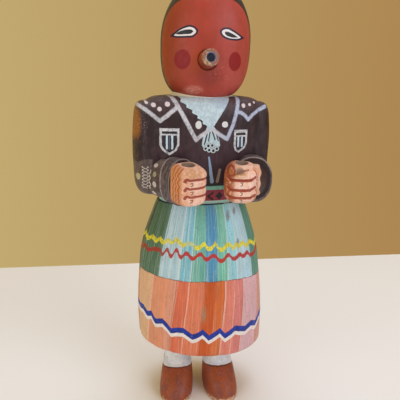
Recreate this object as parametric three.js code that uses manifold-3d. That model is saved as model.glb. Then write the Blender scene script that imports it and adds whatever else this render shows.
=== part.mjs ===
// A carved and painted wooden doll of a girl in a mask: a jacket with a neckerchief, a belt, a full skirt,
// leggings and shoes, with both fists held forward, and a tube mouth set into the mask.
// Millimetres, +Z up. The doll faces -Y and stands on Z = 0, with its origin under the middle of its bounding box.
import * as THREE from "three";
import { mergeVertices } from "three/addons/utils/BufferGeometryUtils.js";
import Module from "manifold-3d";

// Driving heights, from the floor up
const HEIGHT = 290;
const ANKLE_Z = 21;
const HEM_Z = 41.6;
const WAIST_Z = 147;
const JACKET_HEM_Z = 161;
const SHOULDER_Z = 217.5;
const CHIN_Z = 214.5;

// How far each part is turned about the upright axis, in degrees, because it was carved by eye.
// Pairs give the side at -X first.
const TURN = { feet: [-5, 0.5], hem: -1, waist: 3, torso: 6, head: -1 };

// Skirt
const SKIRT_HALF_WIDTH = 45.6;
const SKIRT_SHIFT = 1.4; // of the hem, towards +X
const SKIRT_TOP_HALF_WIDTH = 30.6;
const SKIRT_DEPTH_RATIO = 0.8;
const SKIRT_TOP_DEPTH_RATIO = 0.72;
const HEM_SLANT = 2.6; // the hem is this much higher at -X and lower at +X
const HEM_ROUND = 4.5;

// Torso and arms
const BELT_HALF = { width: 29, depth: 20.3 };
const CHEST_HALF = { width: 41, depth: 23 };
const JACKET_STEP = 1.3;
const ARM_X = 34.9;
const ARM_HALF = { width: 11, depth: 17 };
const SHOULDER_DROP = 3.4;
const SLEEVE_HALF = { width: 11.3, height: 13.2 };
const CUFF_LENGTH = 10.5;
const CUFF_STEP = 1.3;
const CUFF_EXTRA_HEIGHT = 0.6;
const ELBOW_Z = 165.6;
const WRISTS = [new THREE.Vector3(-19.4, -31, 165), new THREE.Vector3(27.6, -30.5, 165.2)];
const CUFF_HALF_WIDTHS = [10.4, 12.6];
const FISTS = [new THREE.Vector3(-18.3, -43, 166), new THREE.Vector3(15.6, -42, 166.2)];
const FIST_HALF = { across: [9.5, 10.6], along: 10.6, height: 12.4 };
const FIST_ROUNDING = [7, 4.6]; // less is more like a barrel
const FIST_YAW = 18; // each turned inwards, in degrees
const HAND_HALF = { width: 8.2, height: 10.6 };
const FINGER_LINES = [
  [-4.9, 0, 5.1],
  [-7.4, -2.4, 3.6],
]; // heights in each fist
const FINGER_LINE_HALF = 0.9;
const FINGER_LINE_DEPTH = 0.9;
const BORE_RADIUS = 4;

// Head and mouth
const HEAD_HALF = { width: 29.2, depth: 27 };
const HEAD_MIDDLE_Z = 251;
const JAW_POWER = 3;
const HEAD_LEAN = 1.1; // degrees, towards +X
const HEAD_SHIFT = 1;
const NECK_HALF = { width: 21, depth: 17 };
const MOUTH_Z = 239.6;
const MOUTH_SHIFT = 0.1; // sideways from the doll's middle
const MOUTH_LENGTH = 14; // proud of the mask
const MOUTH_TIP_RADIUS = 5.1;
const MOUTH_BASE_RADIUS = 6;
const MOUTH_BORE_RADIUS = 2.6;
const MOUTH_BORE_DEPTH = 6;
const MOUTH_SOCKET = 5;
const MOUTH_RISE = 4; // degrees
const FIT_GAP = 0.3;

// Legs and shoes
const LEG_X = 15.4;
const LEG_RADIUS = 9.8;
const SHOE_LENGTH = 43.5;
const SHOE_HALF_WIDTH = 12.3;
const SHOE_HEEL_Y = 14;

const radians = THREE.MathUtils.degToRad;
const smooth = (value, low, high) => THREE.MathUtils.smoothstep(value, low, high);

const wasm = await Module();
wasm.setup();

// A closed mesh as a manifold-3d solid.
function solidOf(geometry) {
  const bare = geometry.clone();
  bare.deleteAttribute("normal");
  bare.deleteAttribute("uv");
  const merged = mergeVertices(bare, 1e-4);
  return new wasm.Manifold(
    new wasm.Mesh({
      numProp: 3,
      vertProperties: merged.attributes.position.array,
      triVerts: new Uint32Array(merged.index.array),
    }),
  );
}

// A manifold-3d solid back as a three.js geometry.
function geometryOf(solid) {
  const { vertProperties, triVerts } = solid.getMesh();
  const geometry = new THREE.BufferGeometry();
  geometry.setAttribute("position", new THREE.BufferAttribute(new Float32Array(vertProperties), 3));
  geometry.setIndex(new THREE.BufferAttribute(new Uint32Array(triVerts), 1));
  geometry.computeVertexNormals();
  return geometry;
}

// One rounded outline of a given number of sides: power 2 is an ellipse, and more is squarer.
function outline(halfWidth, halfDepth, power, sides) {
  return Array.from({ length: sides }, (_, i) => {
    const angle = (2 * Math.PI * i) / sides;
    const [c, s] = [Math.cos(angle), Math.sin(angle)];
    return [
      halfWidth * Math.sign(c) * Math.abs(c) ** (2 / power),
      halfDepth * Math.sign(s) * Math.abs(s) ** (2 / power),
    ];
  });
}

// A closed surface through rings of equal length, each ring anticlockwise seen from the end of the stack.
function loft(rings) {
  const sides = rings[0].length;
  const last = (rings.length - 1) * sides;
  const points = rings.flat();
  const middle = (ring) => ring.reduce((sum, p) => sum.add(p), new THREE.Vector3()).divideScalar(sides);
  points.push(middle(rings[0]), middle(rings.at(-1)));
  const triangles = [];
  for (let s = 0; s < sides; s++) {
    const next = (s + 1) % sides;
    for (let r = 0; r < last; r += sides) {
      triangles.push(r + s, r + next, r + sides + next);
      triangles.push(r + s, r + sides + next, r + sides + s);
    }
    triangles.push(next, s, last + sides);
    triangles.push(last + s, last + next, last + sides + 1);
  }
  const geometry = new THREE.BufferGeometry().setFromPoints(points);
  geometry.setIndex(triangles);
  return geometry;
}

// Turns a point about the upright axis through the origin.
const UP = new THREE.Vector3(0, 0, 1);
const turned = (point, degrees) => point.applyAxisAngle(UP, radians(degrees));

// A smooth run of values through stations such as [z, half width, half depth].
function through(stations, count) {
  const curve = new THREE.CatmullRomCurve3(stations.map((s) => new THREE.Vector3(...s)), false, "centripetal");
  return curve.getPoints(count).map((p) => p.toArray());
}

// A stack of level rings with a half width and half depth at each height.
function stack(levels, { power = () => 2, sides = 48, turn = () => 0, shift = () => [0, 0, 0] }) {
  return loft(
    levels.map(([z, halfWidth, halfDepth]) =>
      outline(halfWidth, halfDepth, power(z), sides).map(([x, y]) => {
        const [dx, dy, dz] = shift(z, x, y);
        return turned(new THREE.Vector3(x + dx, y + dy, z + dz), turn(z));
      }),
    ),
  );
}

// The skirt: narrow at the waist, swelling to a drum with a slanting, rounded hem.
function skirt() {
  const wide = SKIRT_HALF_WIDTH;
  const tall = WAIST_Z - HEM_Z;
  const levels = through(
    [
      [HEM_Z + HEM_ROUND, wide - 0.4, 0],
      [HEM_Z + 0.22 * tall, wide, 0],
      [HEM_Z + 0.5 * tall, wide - 1.6, 0],
      [HEM_Z + 0.68 * tall, wide - 3.9, 0],
      [HEM_Z + 0.82 * tall, wide - 7.8, 0],
      [HEM_Z + 0.93 * tall, wide - 12, 0],
      [WAIST_Z, SKIRT_TOP_HALF_WIDTH, 0],
    ],
    11,
  );
  const rounded = [0, 0.25, 0.6].map((share) => [
    HEM_Z + HEM_ROUND * share,
    wide - 0.4 - HEM_ROUND * (1 - Math.sqrt(1 - (1 - share) ** 2)),
    0,
  ]);
  const rings = [...rounded, ...levels].map(([z, half]) => {
    const ratio = THREE.MathUtils.lerp(SKIRT_DEPTH_RATIO, SKIRT_TOP_DEPTH_RATIO, smooth(z, HEM_Z, WAIST_Z));
    return [z, half, half * ratio];
  });
  return stack(rings, {
    sides: 48,
    power: () => 2.04,
    turn: (z) => THREE.MathUtils.lerp(TURN.hem, TURN.waist, smooth(z, HEM_Z, WAIST_Z)),
    shift: (z, x) => {
      const low = 1 - smooth(z, HEM_Z, WAIST_Z - 20);
      return [SKIRT_SHIFT * low, 0, -HEM_SLANT * (x / wide) * low];
    },
  });
}

// The belt and the jacket's body, up to the sloping shoulders.
function torso() {
  const { width, depth } = CHEST_HALF;
  const belt = [BELT_HALF.width, BELT_HALF.depth];
  const hem = belt.map((half) => half + JACKET_STEP);
  const levels = [
    [WAIST_Z - 3, ...belt],
    [JACKET_HEM_Z - 0.2, ...belt],
    [JACKET_HEM_Z, ...hem],
    ...through(
      [
        [JACKET_HEM_Z + 2, ...hem],
        [176, width - 4.5, depth - 0.8],
        [194, width, depth],
        [SHOULDER_Z - 9, width - 0.5, depth - 0.4],
        [SHOULDER_Z - 4, width - 2.5, depth - 2.2],
        [SHOULDER_Z - 1.2, width - 7, depth - 5.5],
        [SHOULDER_Z, width - 14, depth - 10],
      ],
      10,
    ),
  ];
  return stack(levels, {
    power: (z) => THREE.MathUtils.lerp(2.2, 3, smooth(z, WAIST_Z, 185)),
    sides: 36,
    turn: (z) => THREE.MathUtils.lerp(TURN.waist, TURN.torso, smooth(z, WAIST_Z, 185)),
  });
}

// The neck, inside the jacket's collar.
function neck() {
  const { width, depth } = NECK_HALF;
  const levels = [
    [SHOULDER_Z - 6, width, depth],
    [SHOULDER_Z + 0.5, width - 0.5, depth - 0.5],
    [SHOULDER_Z + 4, width - 2, depth - 2],
  ];
  return stack(levels, { power: () => 2.2, sides: 32, turn: () => TURN.torso });
}

// The mask: a tall rounded block, domed above its middle and squarer towards the chin.
function head() {
  const steps = 15;
  const levels = Array.from({ length: steps + 1 }, (_, i) => {
    const angle = -Math.PI / 2 + (Math.PI * (i + 0.3)) / (steps + 0.6);
    const above = angle > 0;
    const power = above ? 2.05 : JAW_POWER;
    const reach = above ? HEIGHT - HEAD_MIDDLE_Z : HEAD_MIDDLE_Z - CHIN_Z;
    const rise = Math.sign(angle) * Math.abs(Math.sin(angle)) ** (2 / power);
    const share = Math.cos(angle) ** (2 / power);
    return [HEAD_MIDDLE_Z + reach * rise, HEAD_HALF.width * share, HEAD_HALF.depth * share ** 0.9];
  });
  const lean = Math.tan(radians(HEAD_LEAN));
  return stack(levels, {
    power: () => 2.2,
    sides: 40,
    turn: () => TURN.head,
    shift: (z) => [HEAD_SHIFT + lean * (z - CHIN_Z), 0, 0],
  });
}

// A ring stood across a direction in the level plane.
function standingRing(centre, direction, halfWidth, halfHeight, power, sides) {
  const across = new THREE.Vector3().crossVectors(UP, direction).normalize();
  const up = new THREE.Vector3().crossVectors(direction, across).normalize();
  return outline(halfWidth, halfHeight, power, sides).map(([x, y]) =>
    centre.clone().addScaledVector(across, x).addScaledVector(up, y),
  );
}

// Picks one of a pair by side, which is 1 at +X and -1 at -X.
const ofSide = (pair, side) => pair[side > 0 ? 1 : 0];

// The upper arm, from the square shoulder down past the elbow.
function upperArm(side) {
  const [low, high] = [ELBOW_Z - SLEEVE_HALF.height, SHOULDER_Z - SHOULDER_DROP];
  const levels = [
    [low + 0.4, 0.5],
    [low + 1.8, 0.72],
    [low + 4.5, 0.88],
    [low + 9, 0.97],
    [low + 16, 1],
    [high - 12, 1],
    [high - 6.5, 0.95],
    [high - 3, 0.86],
    [high - 0.9, 0.72],
    [high, 0.52],
  ].map(([z, share]) => [z, ARM_HALF.width * share, ARM_HALF.depth * share]);
  return stack(levels, { power: () => 2.7, sides: 24, shift: () => [side * ARM_X, 0, 0] });
}

// The sleeve, from inside the elbow to the end of its cuff.
function sleeve(side) {
  const elbow = new THREE.Vector3(side * ARM_X, 0, ELBOW_Z);
  const along = ofSide(WRISTS, side).clone().sub(elbow);
  const length = along.length();
  const pointing = along.clone().setZ(0).normalize();
  const cuffStart = length - CUFF_LENGTH;
  const stations = [
    [-7, 0.6, 0],
    [-4.5, 0.86, 0],
    [2, 0.97, 0],
    [10, 1, 0],
    [cuffStart, 0.98, 0],
    [cuffStart + 0.5, 0.98, CUFF_STEP],
    [length, 1, CUFF_STEP],
  ];
  const cuffHalfWidth = ofSide(CUFF_HALF_WIDTHS, side) - CUFF_STEP;
  return loft(
    stations.map(([distance, share, step]) => {
      const centre = elbow.clone().addScaledVector(along, distance / length);
      const taper = THREE.MathUtils.lerp(SLEEVE_HALF.width, cuffHalfWidth, smooth(distance, 0, length));
      const width = taper * share + step;
      const height = SLEEVE_HALF.height * share + step + (step > 0 ? CUFF_EXTRA_HEIGHT : 0);
      return standingRing(centre, pointing, width, height, 2.3, 24);
    }),
  );
}

// A closed fist, upright, its top sloping forward, with three lines cut between its four fingers.
function fist(side) {
  const lines = ofSide(FINGER_LINES, side).flatMap((line) => [
    [(line - FINGER_LINE_HALF) / FIST_HALF.height, 0],
    [line / FIST_HALF.height, FINGER_LINE_DEPTH],
    [(line + FINGER_LINE_HALF) / FIST_HALF.height, 0],
  ]);
  const levels = [[-1, 0], [-0.94, 0], [-0.8, 0], ...lines, [0.7, 0], [0.88, 0], [0.97, 0], [1, 0]];
  const centre = ofSide(FISTS, side);
  const across = ofSide(FIST_HALF.across, side);
  const rounding = ofSide(FIST_ROUNDING, side);
  return loft(
    levels.map(([height, depth]) => {
      const share = (1 - 0.85 * Math.abs(height) ** rounding) ** 0.55;
      const cut = 1 - depth / FIST_HALF.along;
      return outline(across * share, FIST_HALF.along * share, 2.8, 24).map(([x, y]) => {
        const pinch = y < 0 ? cut : 1;
        const slope = 0.16 * y * smooth(height, 0.3, 1);
        const point = new THREE.Vector3(x * pinch, y * pinch, FIST_HALF.height * height + slope);
        return turned(point, -side * FIST_YAW).add(centre);
      });
    }),
  );
}

// The back of a hand, from inside the cuff to inside the fist.
function hand(side) {
  const end = ofSide(FISTS, side).clone();
  const along = end.clone().sub(ofSide(WRISTS, side));
  const pointing = along.clone().setZ(0).normalize();
  const { width, height } = HAND_HALF;
  return loft(
    [-0.4, 0.8].map((share) => standingRing(end.clone().addScaledVector(along, share - 1), pointing, width, height, 2.4, 20)),
  );
}

// The upright hole through a fist.
function fistBore(side) {
  const { x, y, z } = ofSide(FISTS, side);
  const bore = new THREE.CylinderGeometry(BORE_RADIUS, BORE_RADIUS, 4 * FIST_HALF.height, 16);
  return bore.rotateX(Math.PI / 2).translate(x, y, z).rotateZ(radians(TURN.torso));
}

// One arm with its fist, already joined.
function arm(side) {
  return [upperArm(side), sleeve(side), hand(side), fist(side)]
    .map((form) => solidOf(form.rotateZ(radians(TURN.torso))))
    .reduce((sum, form) => sum.add(form));
}

// A leg from inside the skirt down into its shoe.
function leg(side) {
  const levels = [
    [ANKLE_Z - 8, LEG_RADIUS, LEG_RADIUS],
    [ANKLE_Z + 4, LEG_RADIUS, LEG_RADIUS],
    [HEM_Z + 8, LEG_RADIUS + 0.6, LEG_RADIUS + 0.6],
  ];
  return stack(levels, { sides: 20, turn: () => ofSide(TURN.feet, side), shift: () => [side * LEG_X, 0, 0] });
}

// A moccasin with a flat sole: round at the toe, widest at the ball, and rising to the ankle.
function shoe(side) {
  const levels = [0, 0.06, 0.25, 0.5, 0.75, 0.92, 1].map((share) => [
    ANKLE_Z * share,
    1 - 0.05 * (1 - share) ** 6 - 0.15 * share ** 2,
    share,
  ]);
  const middle = SHOE_HEEL_Y - SHOE_LENGTH / 2;
  return loft(
    levels.map(([z, size, share]) => {
      const drawnBack = 0.47 * share ** 2;
      return outline(SHOE_HALF_WIDTH * size, SHOE_LENGTH / 2, 2.35, 28).map(([x, y]) => {
        const toe = smooth(-y, -SHOE_LENGTH / 2, SHOE_LENGTH / 2);
        const along = middle + y * (1 - drawnBack) + drawnBack * (SHOE_LENGTH / 2);
        const flare = 1 + 0.07 * toe * (1 - share);
        const outward = 1.2 * toe * side * (1 - share);
        return turned(new THREE.Vector3(side * LEG_X + x * flare + outward, along, z), ofSide(TURN.feet, side));
      });
    }),
  );
}

// A cone along the mouth's axis, between two distances measured outwards from the mask's front.
function mouthCone(start, end, startRadius, endRadius) {
  const cone = new THREE.CylinderGeometry(startRadius, endRadius, end - start, 24);
  return cone
    .translate(0, -(start + end) / 2, 0)
    .rotateX(radians(-MOUTH_RISE))
    .translate(MOUTH_SHIFT, 0.4 - HEAD_HALF.depth, MOUTH_Z)
    .rotateZ(radians(TURN.head));
}

function carvedFigure() {
  const whole = [skirt(), torso(), neck(), head(), leg(1), leg(-1), shoe(1), shoe(-1)]
    .map(solidOf)
    .concat([arm(1), arm(-1)])
    .reduce((sum, form) => sum.add(form));
  const socketRadius = MOUTH_BASE_RADIUS + FIT_GAP;
  const cuts = [
    fistBore(1),
    fistBore(-1),
    mouthCone(-MOUTH_SOCKET - FIT_GAP, MOUTH_LENGTH, socketRadius, socketRadius),
  ];
  return cuts.map(solidOf).reduce((left, cut) => left.subtract(cut), whole);
}

function mouthTube() {
  const tube = solidOf(mouthCone(-MOUTH_SOCKET, MOUTH_LENGTH, MOUTH_BASE_RADIUS, MOUTH_TIP_RADIUS));
  const bore = mouthCone(MOUTH_LENGTH - MOUTH_BORE_DEPTH, MOUTH_LENGTH + 1, MOUTH_BORE_RADIUS, MOUTH_BORE_RADIUS);
  return tube.subtract(solidOf(bore));
}

const paintedWood = new THREE.MeshStandardMaterial({ color: 0x8c6a52, roughness: 0.7, metalness: 0 });
const maskRed = new THREE.MeshStandardMaterial({ color: 0xb04a3c, roughness: 0.6, metalness: 0 });

// A named mesh of one solid.
function piece(name, solid, material) {
  const mesh = new THREE.Mesh(geometryOf(solid), material);
  mesh.name = name;
  return mesh;
}

const doll = new THREE.Group();
doll.add(piece("carved_figure", carvedFigure(), paintedWood));
doll.add(piece("mouth_tube", mouthTube(), maskRed));

// The origin goes under the middle of the bounding box.
const bounds = new THREE.Box3().setFromObject(doll);
const centre = bounds.getCenter(new THREE.Vector3());
doll.position.set(-centre.x, -centre.y, -bounds.min.z);

export default doll;
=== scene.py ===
"""A carved and painted kachina doll: one cottonwood figure in a red mask, jacket, belt and full skirt, with a
separate tube mouth. Forms are worked out in millimetres about the doll's own upright axis, with the doll facing -Y,
and are put into the mesh in metres."""

import math
from functools import reduce

import bpy
import numpy as np
from bpy.props import FloatProperty, FloatVectorProperty, PointerProperty
from mathutils import Matrix, Vector


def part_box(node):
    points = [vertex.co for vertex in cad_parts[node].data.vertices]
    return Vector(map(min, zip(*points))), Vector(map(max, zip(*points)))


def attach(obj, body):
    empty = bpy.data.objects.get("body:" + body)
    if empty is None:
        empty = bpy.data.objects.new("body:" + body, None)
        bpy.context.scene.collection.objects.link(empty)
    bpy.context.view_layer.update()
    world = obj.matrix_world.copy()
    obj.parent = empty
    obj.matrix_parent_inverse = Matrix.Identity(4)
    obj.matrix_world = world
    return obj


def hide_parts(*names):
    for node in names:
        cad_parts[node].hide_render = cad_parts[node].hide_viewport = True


bl_info = {
    "name": "Kachina Doll",
    "version": (1, 0, 0),
    "blender": (4, 5, 0),
    "location": "3D View > Sidebar > Doll",
    "description": "Carves and paints a wooden doll in a tube-mouthed mask, and sets it on a pale floor",
    "category": "Object",
}

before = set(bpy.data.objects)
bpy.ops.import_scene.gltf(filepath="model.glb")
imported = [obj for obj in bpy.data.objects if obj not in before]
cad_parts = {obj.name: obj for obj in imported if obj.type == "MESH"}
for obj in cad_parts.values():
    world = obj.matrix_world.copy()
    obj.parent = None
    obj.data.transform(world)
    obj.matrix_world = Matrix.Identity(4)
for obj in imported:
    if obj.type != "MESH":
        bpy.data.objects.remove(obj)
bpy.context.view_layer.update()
MM = 0.001
CROWN_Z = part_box("carved_figure")[1].z / MM
AXIS = (-0.39, 9.78)  # where the doll's upright axis stands in the frame

# Heights
ANKLE_Z, HEM_Z, WAIST_Z, JACKET_HEM_Z, SHOULDER_Z, CHIN_Z = 21.0, 41.6, 147.0, 161.0, 217.5, 214.5

# Turns about the axis, in degrees. Pairs give the side at -X first, as everywhere below.
FEET_TURN = (-5.0, 0.5)
HEM_TURN, WAIST_TURN, TORSO_TURN, HEAD_TURN = -1.0, 3.0, 6.0, -1.0

# Skirt and torso
SKIRT_HALF, SKIRT_TOP_HALF = 45.6, 30.6
SKIRT_DEPTH_RATIOS = (0.8, 0.72)
SKIRT_SHIFT, HEM_SLANT, HEM_ROUND = 1.4, 2.6, 4.5
PLEATS = (-150, -128, -104, -84, -61, -40, -30, -3, 18, 34, 48, 62, 84, 104, 128, 152, 176)
BELT_HALF, CHEST_HALF, JACKET_STEP = (29.0, 20.3), (41.0, 23.0), 1.3
NECK_HALF = (21.0, 17.0)

# Arms
ARM_X, ARM_HALF, ELBOW_Z, SHOULDER_DROP = 34.9, (11.0, 17.0), 165.6, 3.4
SLEEVE_HALF, CUFF_HALF_WIDTHS = (11.3, 13.2), (10.4, 12.6)
CUFF_LENGTH, CUFF_STEP, CUFF_EXTRA_HEIGHT = 10.5, 1.3, 0.6
WRISTS = ((-19.4, -31.0, 165.0), (27.6, -30.5, 165.2))
FISTS = ((-18.3, -43.0, 166.0), (15.6, -42.0, 166.2))
FIST_WIDTHS, FIST_ALONG, FIST_TALL, FIST_ROUNDING = (9.5, 10.6), 10.6, 12.4, (7.0, 4.6)
FIST_YAW, HAND_HALF, BORE_RADIUS = 18.0, (8.2, 10.6), 4.0
FINGER_LINES = ((-4.9, 0.0, 5.1), (-7.4, -2.4, 3.6))
# A thumb's place is for the hand at -X, and is mirrored for the other
THUMB_START, THUMB_END, THUMB_RADIUS, THUMB_HEIGHT = (5.6, 7.0, 12.0), (6.2, -8.0, 8.8), 3.2, 0.6
FINGER_MIDDLE, FINGER_SPREAD, FINGER_SWELL = 2.5, 1.9, 0.2

# Head and mouth
HEAD_HALF, HEAD_MIDDLE_Z, JAW_POWER, CROWN_POWER = (29.2, 27.0), 251.0, 3.0, 2.05
HEAD_LEAN, HEAD_SHIFT = 1.1, 1.0
FACE_SHIFT, FACE_HALF, FACE_RISE, FACE_POWER, FACE_MIDDLE_Z, FACE_BACK_Y = 0.8, 28.2, 32.2, 3.0, 245.0, -6.6
MOUTH_SHIFT, MOUTH_Z, MOUTH_LENGTH, MOUTH_RADII, MOUTH_RISE = 0.1, 239.6, 14.0, (6.0, 5.1), 4.0
MOUTH_BORE_RADIUS, MOUTH_BORE_DEPTH, MOUTH_SOCKET, FIT_GAP = 2.6, 6.0, 5.0, 0.3

# Legs and shoes
LEG_X, LEG_RADIUS, LEG_WIDENING, ANKLE_SWELL = 15.4, 9.8, 0.6, 0.35
SHOE_LENGTH, SHOE_HALF_WIDTH, SHOE_HEEL_Y = 43.5, 12.3, 14.0

# The surface: five slow waves, each with its direction and its start, and the knife's scoops
WAVES = ((0.11, 0.05, 0.07), (-0.06, 0.12, 0.05), (0.09, -0.1, 0.12), (0.03, 0.16, -0.1), (-0.19, 0.02, 0.04))
WAVE_STARTS = (0.3, 1.7, 4.1, 2.6, 5.2)
SCOOP_REACH, SCOOP_SEED, SCOOP_DENSITY, SCOOP_COUNTS, SCOOP_STRETCH = 9.0, 5, 0.9, (12, 420), (1, 1, 0.6)
PLEAT_SPREAD, SHARP_ANGLE = 3.2, 38

# Paint: how fine its wobble is, its shine, how high its strokes stand in millimetres, and the shade of wood grain
WOBBLE_SCALE, SPECULAR, STROKE_RELIEF, GRAIN_SHADE = 0.42, 0.42, 0.12, 0.55

# The stage, in metres, degrees and watts. The floor has its half width, front edge and back edge
FLOOR_EDGES, FLOOR_ROUGHNESS = (1.5, -1.5, 0.258), 0.7
SURROUND_STRENGTH, SURROUND_SPAN = 0.62, (-0.3, 0.5)
LAMPS = (
    ("key", (0.75, -0.95, 0.75), 0.9, 8.0, "E0EBFF"),
    ("fill", (-0.95, -0.8, 0.45), 1.0, 4.5, "E6ECFF"),
    ("top", (0.1, 0.2, 1.3), 0.8, 7.2, "D6E6FF"),
)
LAMPS_AIM = (0, 0, 0.15)
VIEW_AZIMUTH, VIEW_PITCH, VIEW_ROLL, SENSOR_WIDTH, CLIP_START = -8.0, 14.3, 1.0, 36.0, 0.01

# Painted motifs, in millimetres across and up. Cheek discs, each with its middle and its half sizes
CHEEKS = (((-16.6, 239.4), (4.8, 5.9)), ((16.0, 239.3), (4.3, 5.7)))
# Outlines of the eyes and pupils, anticlockwise
EYES = (
    (
        [
            (-23.5, 253), (-21, 252.2), (-15.5, 252.1), (-11, 252.6), (-8.5, 254.5), (-8.2, 256.2), (-9.8, 258),
            (-12.7, 259), (-15.5, 258.3), (-18.4, 257.1), (-21.2, 255),
        ],
        [
            (-20.8, 254.2), (-19.5, 253.8), (-15.5, 253.9), (-12, 254.3), (-10.7, 255.6), (-12.1, 256.6),
            (-15, 256.5), (-18.4, 255.6),
        ],
    ),
    (
        [
            (21, 253.6), (17, 255.8), (12.8, 257.8), (9.6, 258.6), (6.8, 257.8), (5.5, 256.3), (6.2, 254.3),
            (8.5, 252.7), (12.5, 251.8), (17.2, 252),
        ],
        [
            (16.9, 253.6), (13.6, 255.2), (10.3, 256.3), (8.5, 256.1), (8.5, 255), (10, 253.9), (13.7, 253.2),
        ],
    ),
)  # fmt: skip
# The brush line in a cut between fingers and the small mark below it, measured from the cut's own height
FINGER_STROKES = (
    (
        (0.72, (-7.0, -1.0), (-6.2, 0.5), (-4.6, -0.2), (3.0, 0), (9.6, 0.6)),
        (0.28, (-4.2, -1.9), (-2.9, -1.7), (-3.0, -3.0), (-4.0, -3.5)),
    ),
    (
        (0.85, (-7.8, 1.4), (-6.0, -0.2), (0.0, -0.4), (5.6, -0.1), (8.4, 1.6)),
        (0.26, (-0.3, -1.6), (0.9, -1.8), (0.7, -3.0), (-0.2, -3.5)),
    ),
)
# The jacket's lines, each as its half width and its spots, and its studs, as (x, z, radius)
YOKES = (
    (1.2, (-45.5, 212.8), (-39.5, 208.8), (-31.4, 202.3), (-26.6, 206.1), (-21.0, 210.8)),
    (1.1, (17.5, 208.2), (20.8, 207.6), (23.7, 205.8), (26.0, 203.2), (29.1, 206.0), (34.3, 209.0), (40.5, 211.4)),
)
LAPELS = (
    (1.25, (-25.0, 220.5), (-23.0, 216.6), (-18.6, 208.1), (-14.3, 200.1), (-9.0, 190.6), (-6.4, 192.6), (-1.1, 196.2)),
    (1.2, (20.4, 220.5), (19.8, 216.6), (18.0, 209.3), (15.3, 199.9), (11.7, 190.9), (6.8, 193.6), (2.5, 196.8)),
)
FOLDS = (
    (0.42, (-1.7, 194.6), (-3.4, 187.6)),
    (0.4, (0.1, 195.6), (-0.7, 189.8)),
    (0.45, (1.7, 196.0), (3.6, 190.6)),
    (0.35, (4.2, 194.6), (5.8, 189.8)),
)
STUDS = (
    (-38.9, 213.3, 1.0), (-34.8, 211.9, 1.35), (-31.5, 209.6, 1.35), (-26.6, 212.6, 1.55), (22.8, 212.0, 1.35),
    (27.5, 212.6, 1.0), (31.5, 213.8, 0.75),
)  # fmt: skip
# Badges: left and right edge, top, shoulders, point, and the places of the stripes
BADGES = (
    (-31.7, -19.6, 197.9, (187.2, 187.2), (-25.5, 180.7), (-27.3, -24.0)),
    (16.4, 25.9, 196.7, (186.0, 188.0), (20.2, 181.6), (19.4, 22.1)),
)
# The middles of the rings under the neckerchief, and the outlines of its tail and its body, anticlockwise
RINGS = ((-2.5, 184.9), (-0.8, 186.7), (1.8, 186.9), (-0.1, 183.9), (2.6, 183.5), (4.9, 184.7))
FLARE = [
    (-1.9, 198.6), (-4.4, 191.8), (-5.1, 187.2), (-3.4, 184.0), (5.0, 184.0), (7.1, 186.8), (6.2, 191.0), (3.0, 198.6),
]  # fmt: skip
NECKERCHIEF = [(-18.4, 214.9), (-1.3, 198.3), (2.0, 198.3), (14.6, 217.4), (14.6, 226), (-18.4, 226)]


def tint(code):
    """A hex colour as the linear red, green and blue that shaders take."""
    parts = [int(code[i : i + 2], 16) / 255 for i in (0, 2, 4)]
    return tuple(p / 12.92 if p <= 0.04045 else ((p + 0.055) / 1.055) ** 2.4 for p in parts)


def rgba(shade):
    """A plain colour, given as hex or as linear red, green and blue, with full alpha."""
    return (*(tint(shade) if isinstance(shade, str) else shade[:3]), 1.0)


def colour(name, description, code):
    return FloatVectorProperty(name=name, description=description, subtype="COLOR", min=0, max=1, default=tint(code))


def length(name, description, millimetres):
    return FloatProperty(
        name=name, description=description, unit="LENGTH", min=0, precision=5, default=millimetres * MM
    )


class DollCarving(bpy.types.PropertyGroup):
    spacing: length("Mesh spacing", "Distance between neighbouring points of the carved surface", 1.05)
    unevenness: length("Unevenness", "How far the surface wanders from its true form", 0.28)
    knife_depth: length("Knife marks", "Depth of the shallow scoops left by the knife", 0.16)
    pleat_depth: length("Pleats", "Depth of the valley between two pleats of the skirt", 0.5)
    finger_depth: length("Finger lines", "Depth of the lines cut between the fingers", 0.9)


class DollPaint(bpy.types.PropertyGroup):
    mask: colour("Mask", "Red of the mask", "AC3F31")
    cheek: colour("Cheeks", "Dark red of the cheek discs", "8C0A10")
    hair: colour("Hair", "Black of the hair", "25282A")
    jacket: colour("Jacket", "Brown-black of the jacket", "26131A")
    trim: colour("Trim", "Silver-white of the trim and buttons", "C6CAD6")
    kerchief: colour("Neckerchief", "Pale blue-white of the neckerchief", "C8E2F0")
    skin: colour("Hands", "Peach of the hands", "E8B08C")
    line: colour("Hand lines", "Red-brown of the finger lines", "98391F")
    belt: colour("Belt", "Red of the belt", "8E2E44")
    turquoise: colour("Belt edge", "Turquoise of the belt's edges", "7FBFB0")
    yellow: colour("Yellow zigzag", "Upper zigzag on the skirt", "E4DA2A")
    red: colour("Red zigzag", "Lower zigzag on the skirt", "B4241E")
    blue: colour("Blue band", "Wavy band above the hem", "0834A6")
    leggings: colour("Leggings", "White of the leggings", "E2E6EA")
    shoes: colour("Shoes", "Rust-brown of the shoes", "974A2C")
    wood: colour("Bare wood", "Wood where the paint is worn off", "CFA878")


class DollStage(bpy.types.PropertyGroup):
    floor: colour("Floor", "Colour of the floor", "F4F7F9")
    surround: colour("Surround", "Colour of the light from the left", "F0D38E")
    surround_right: colour("Surround right", "Colour of the light from the right", "D6A868")
    lens: FloatProperty(name="Lens", description="Focal length on a 36 mm sensor, in millimetres", default=43.2)
    distance: length("Camera distance", "Level distance from the doll's axis to the camera", 329)
    height: length("Camera height", "Height of the camera above the floor", 229)


# ---------------------------------------------------------------- forms


def smooth(value, low, high):
    """0 below low and 1 above high, eased between by 3t^2 - 2t^3."""
    t = np.clip((np.asarray(value, float) - low) / (high - low), 0, 1)
    return t * t * (3 - 2 * t)


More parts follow.
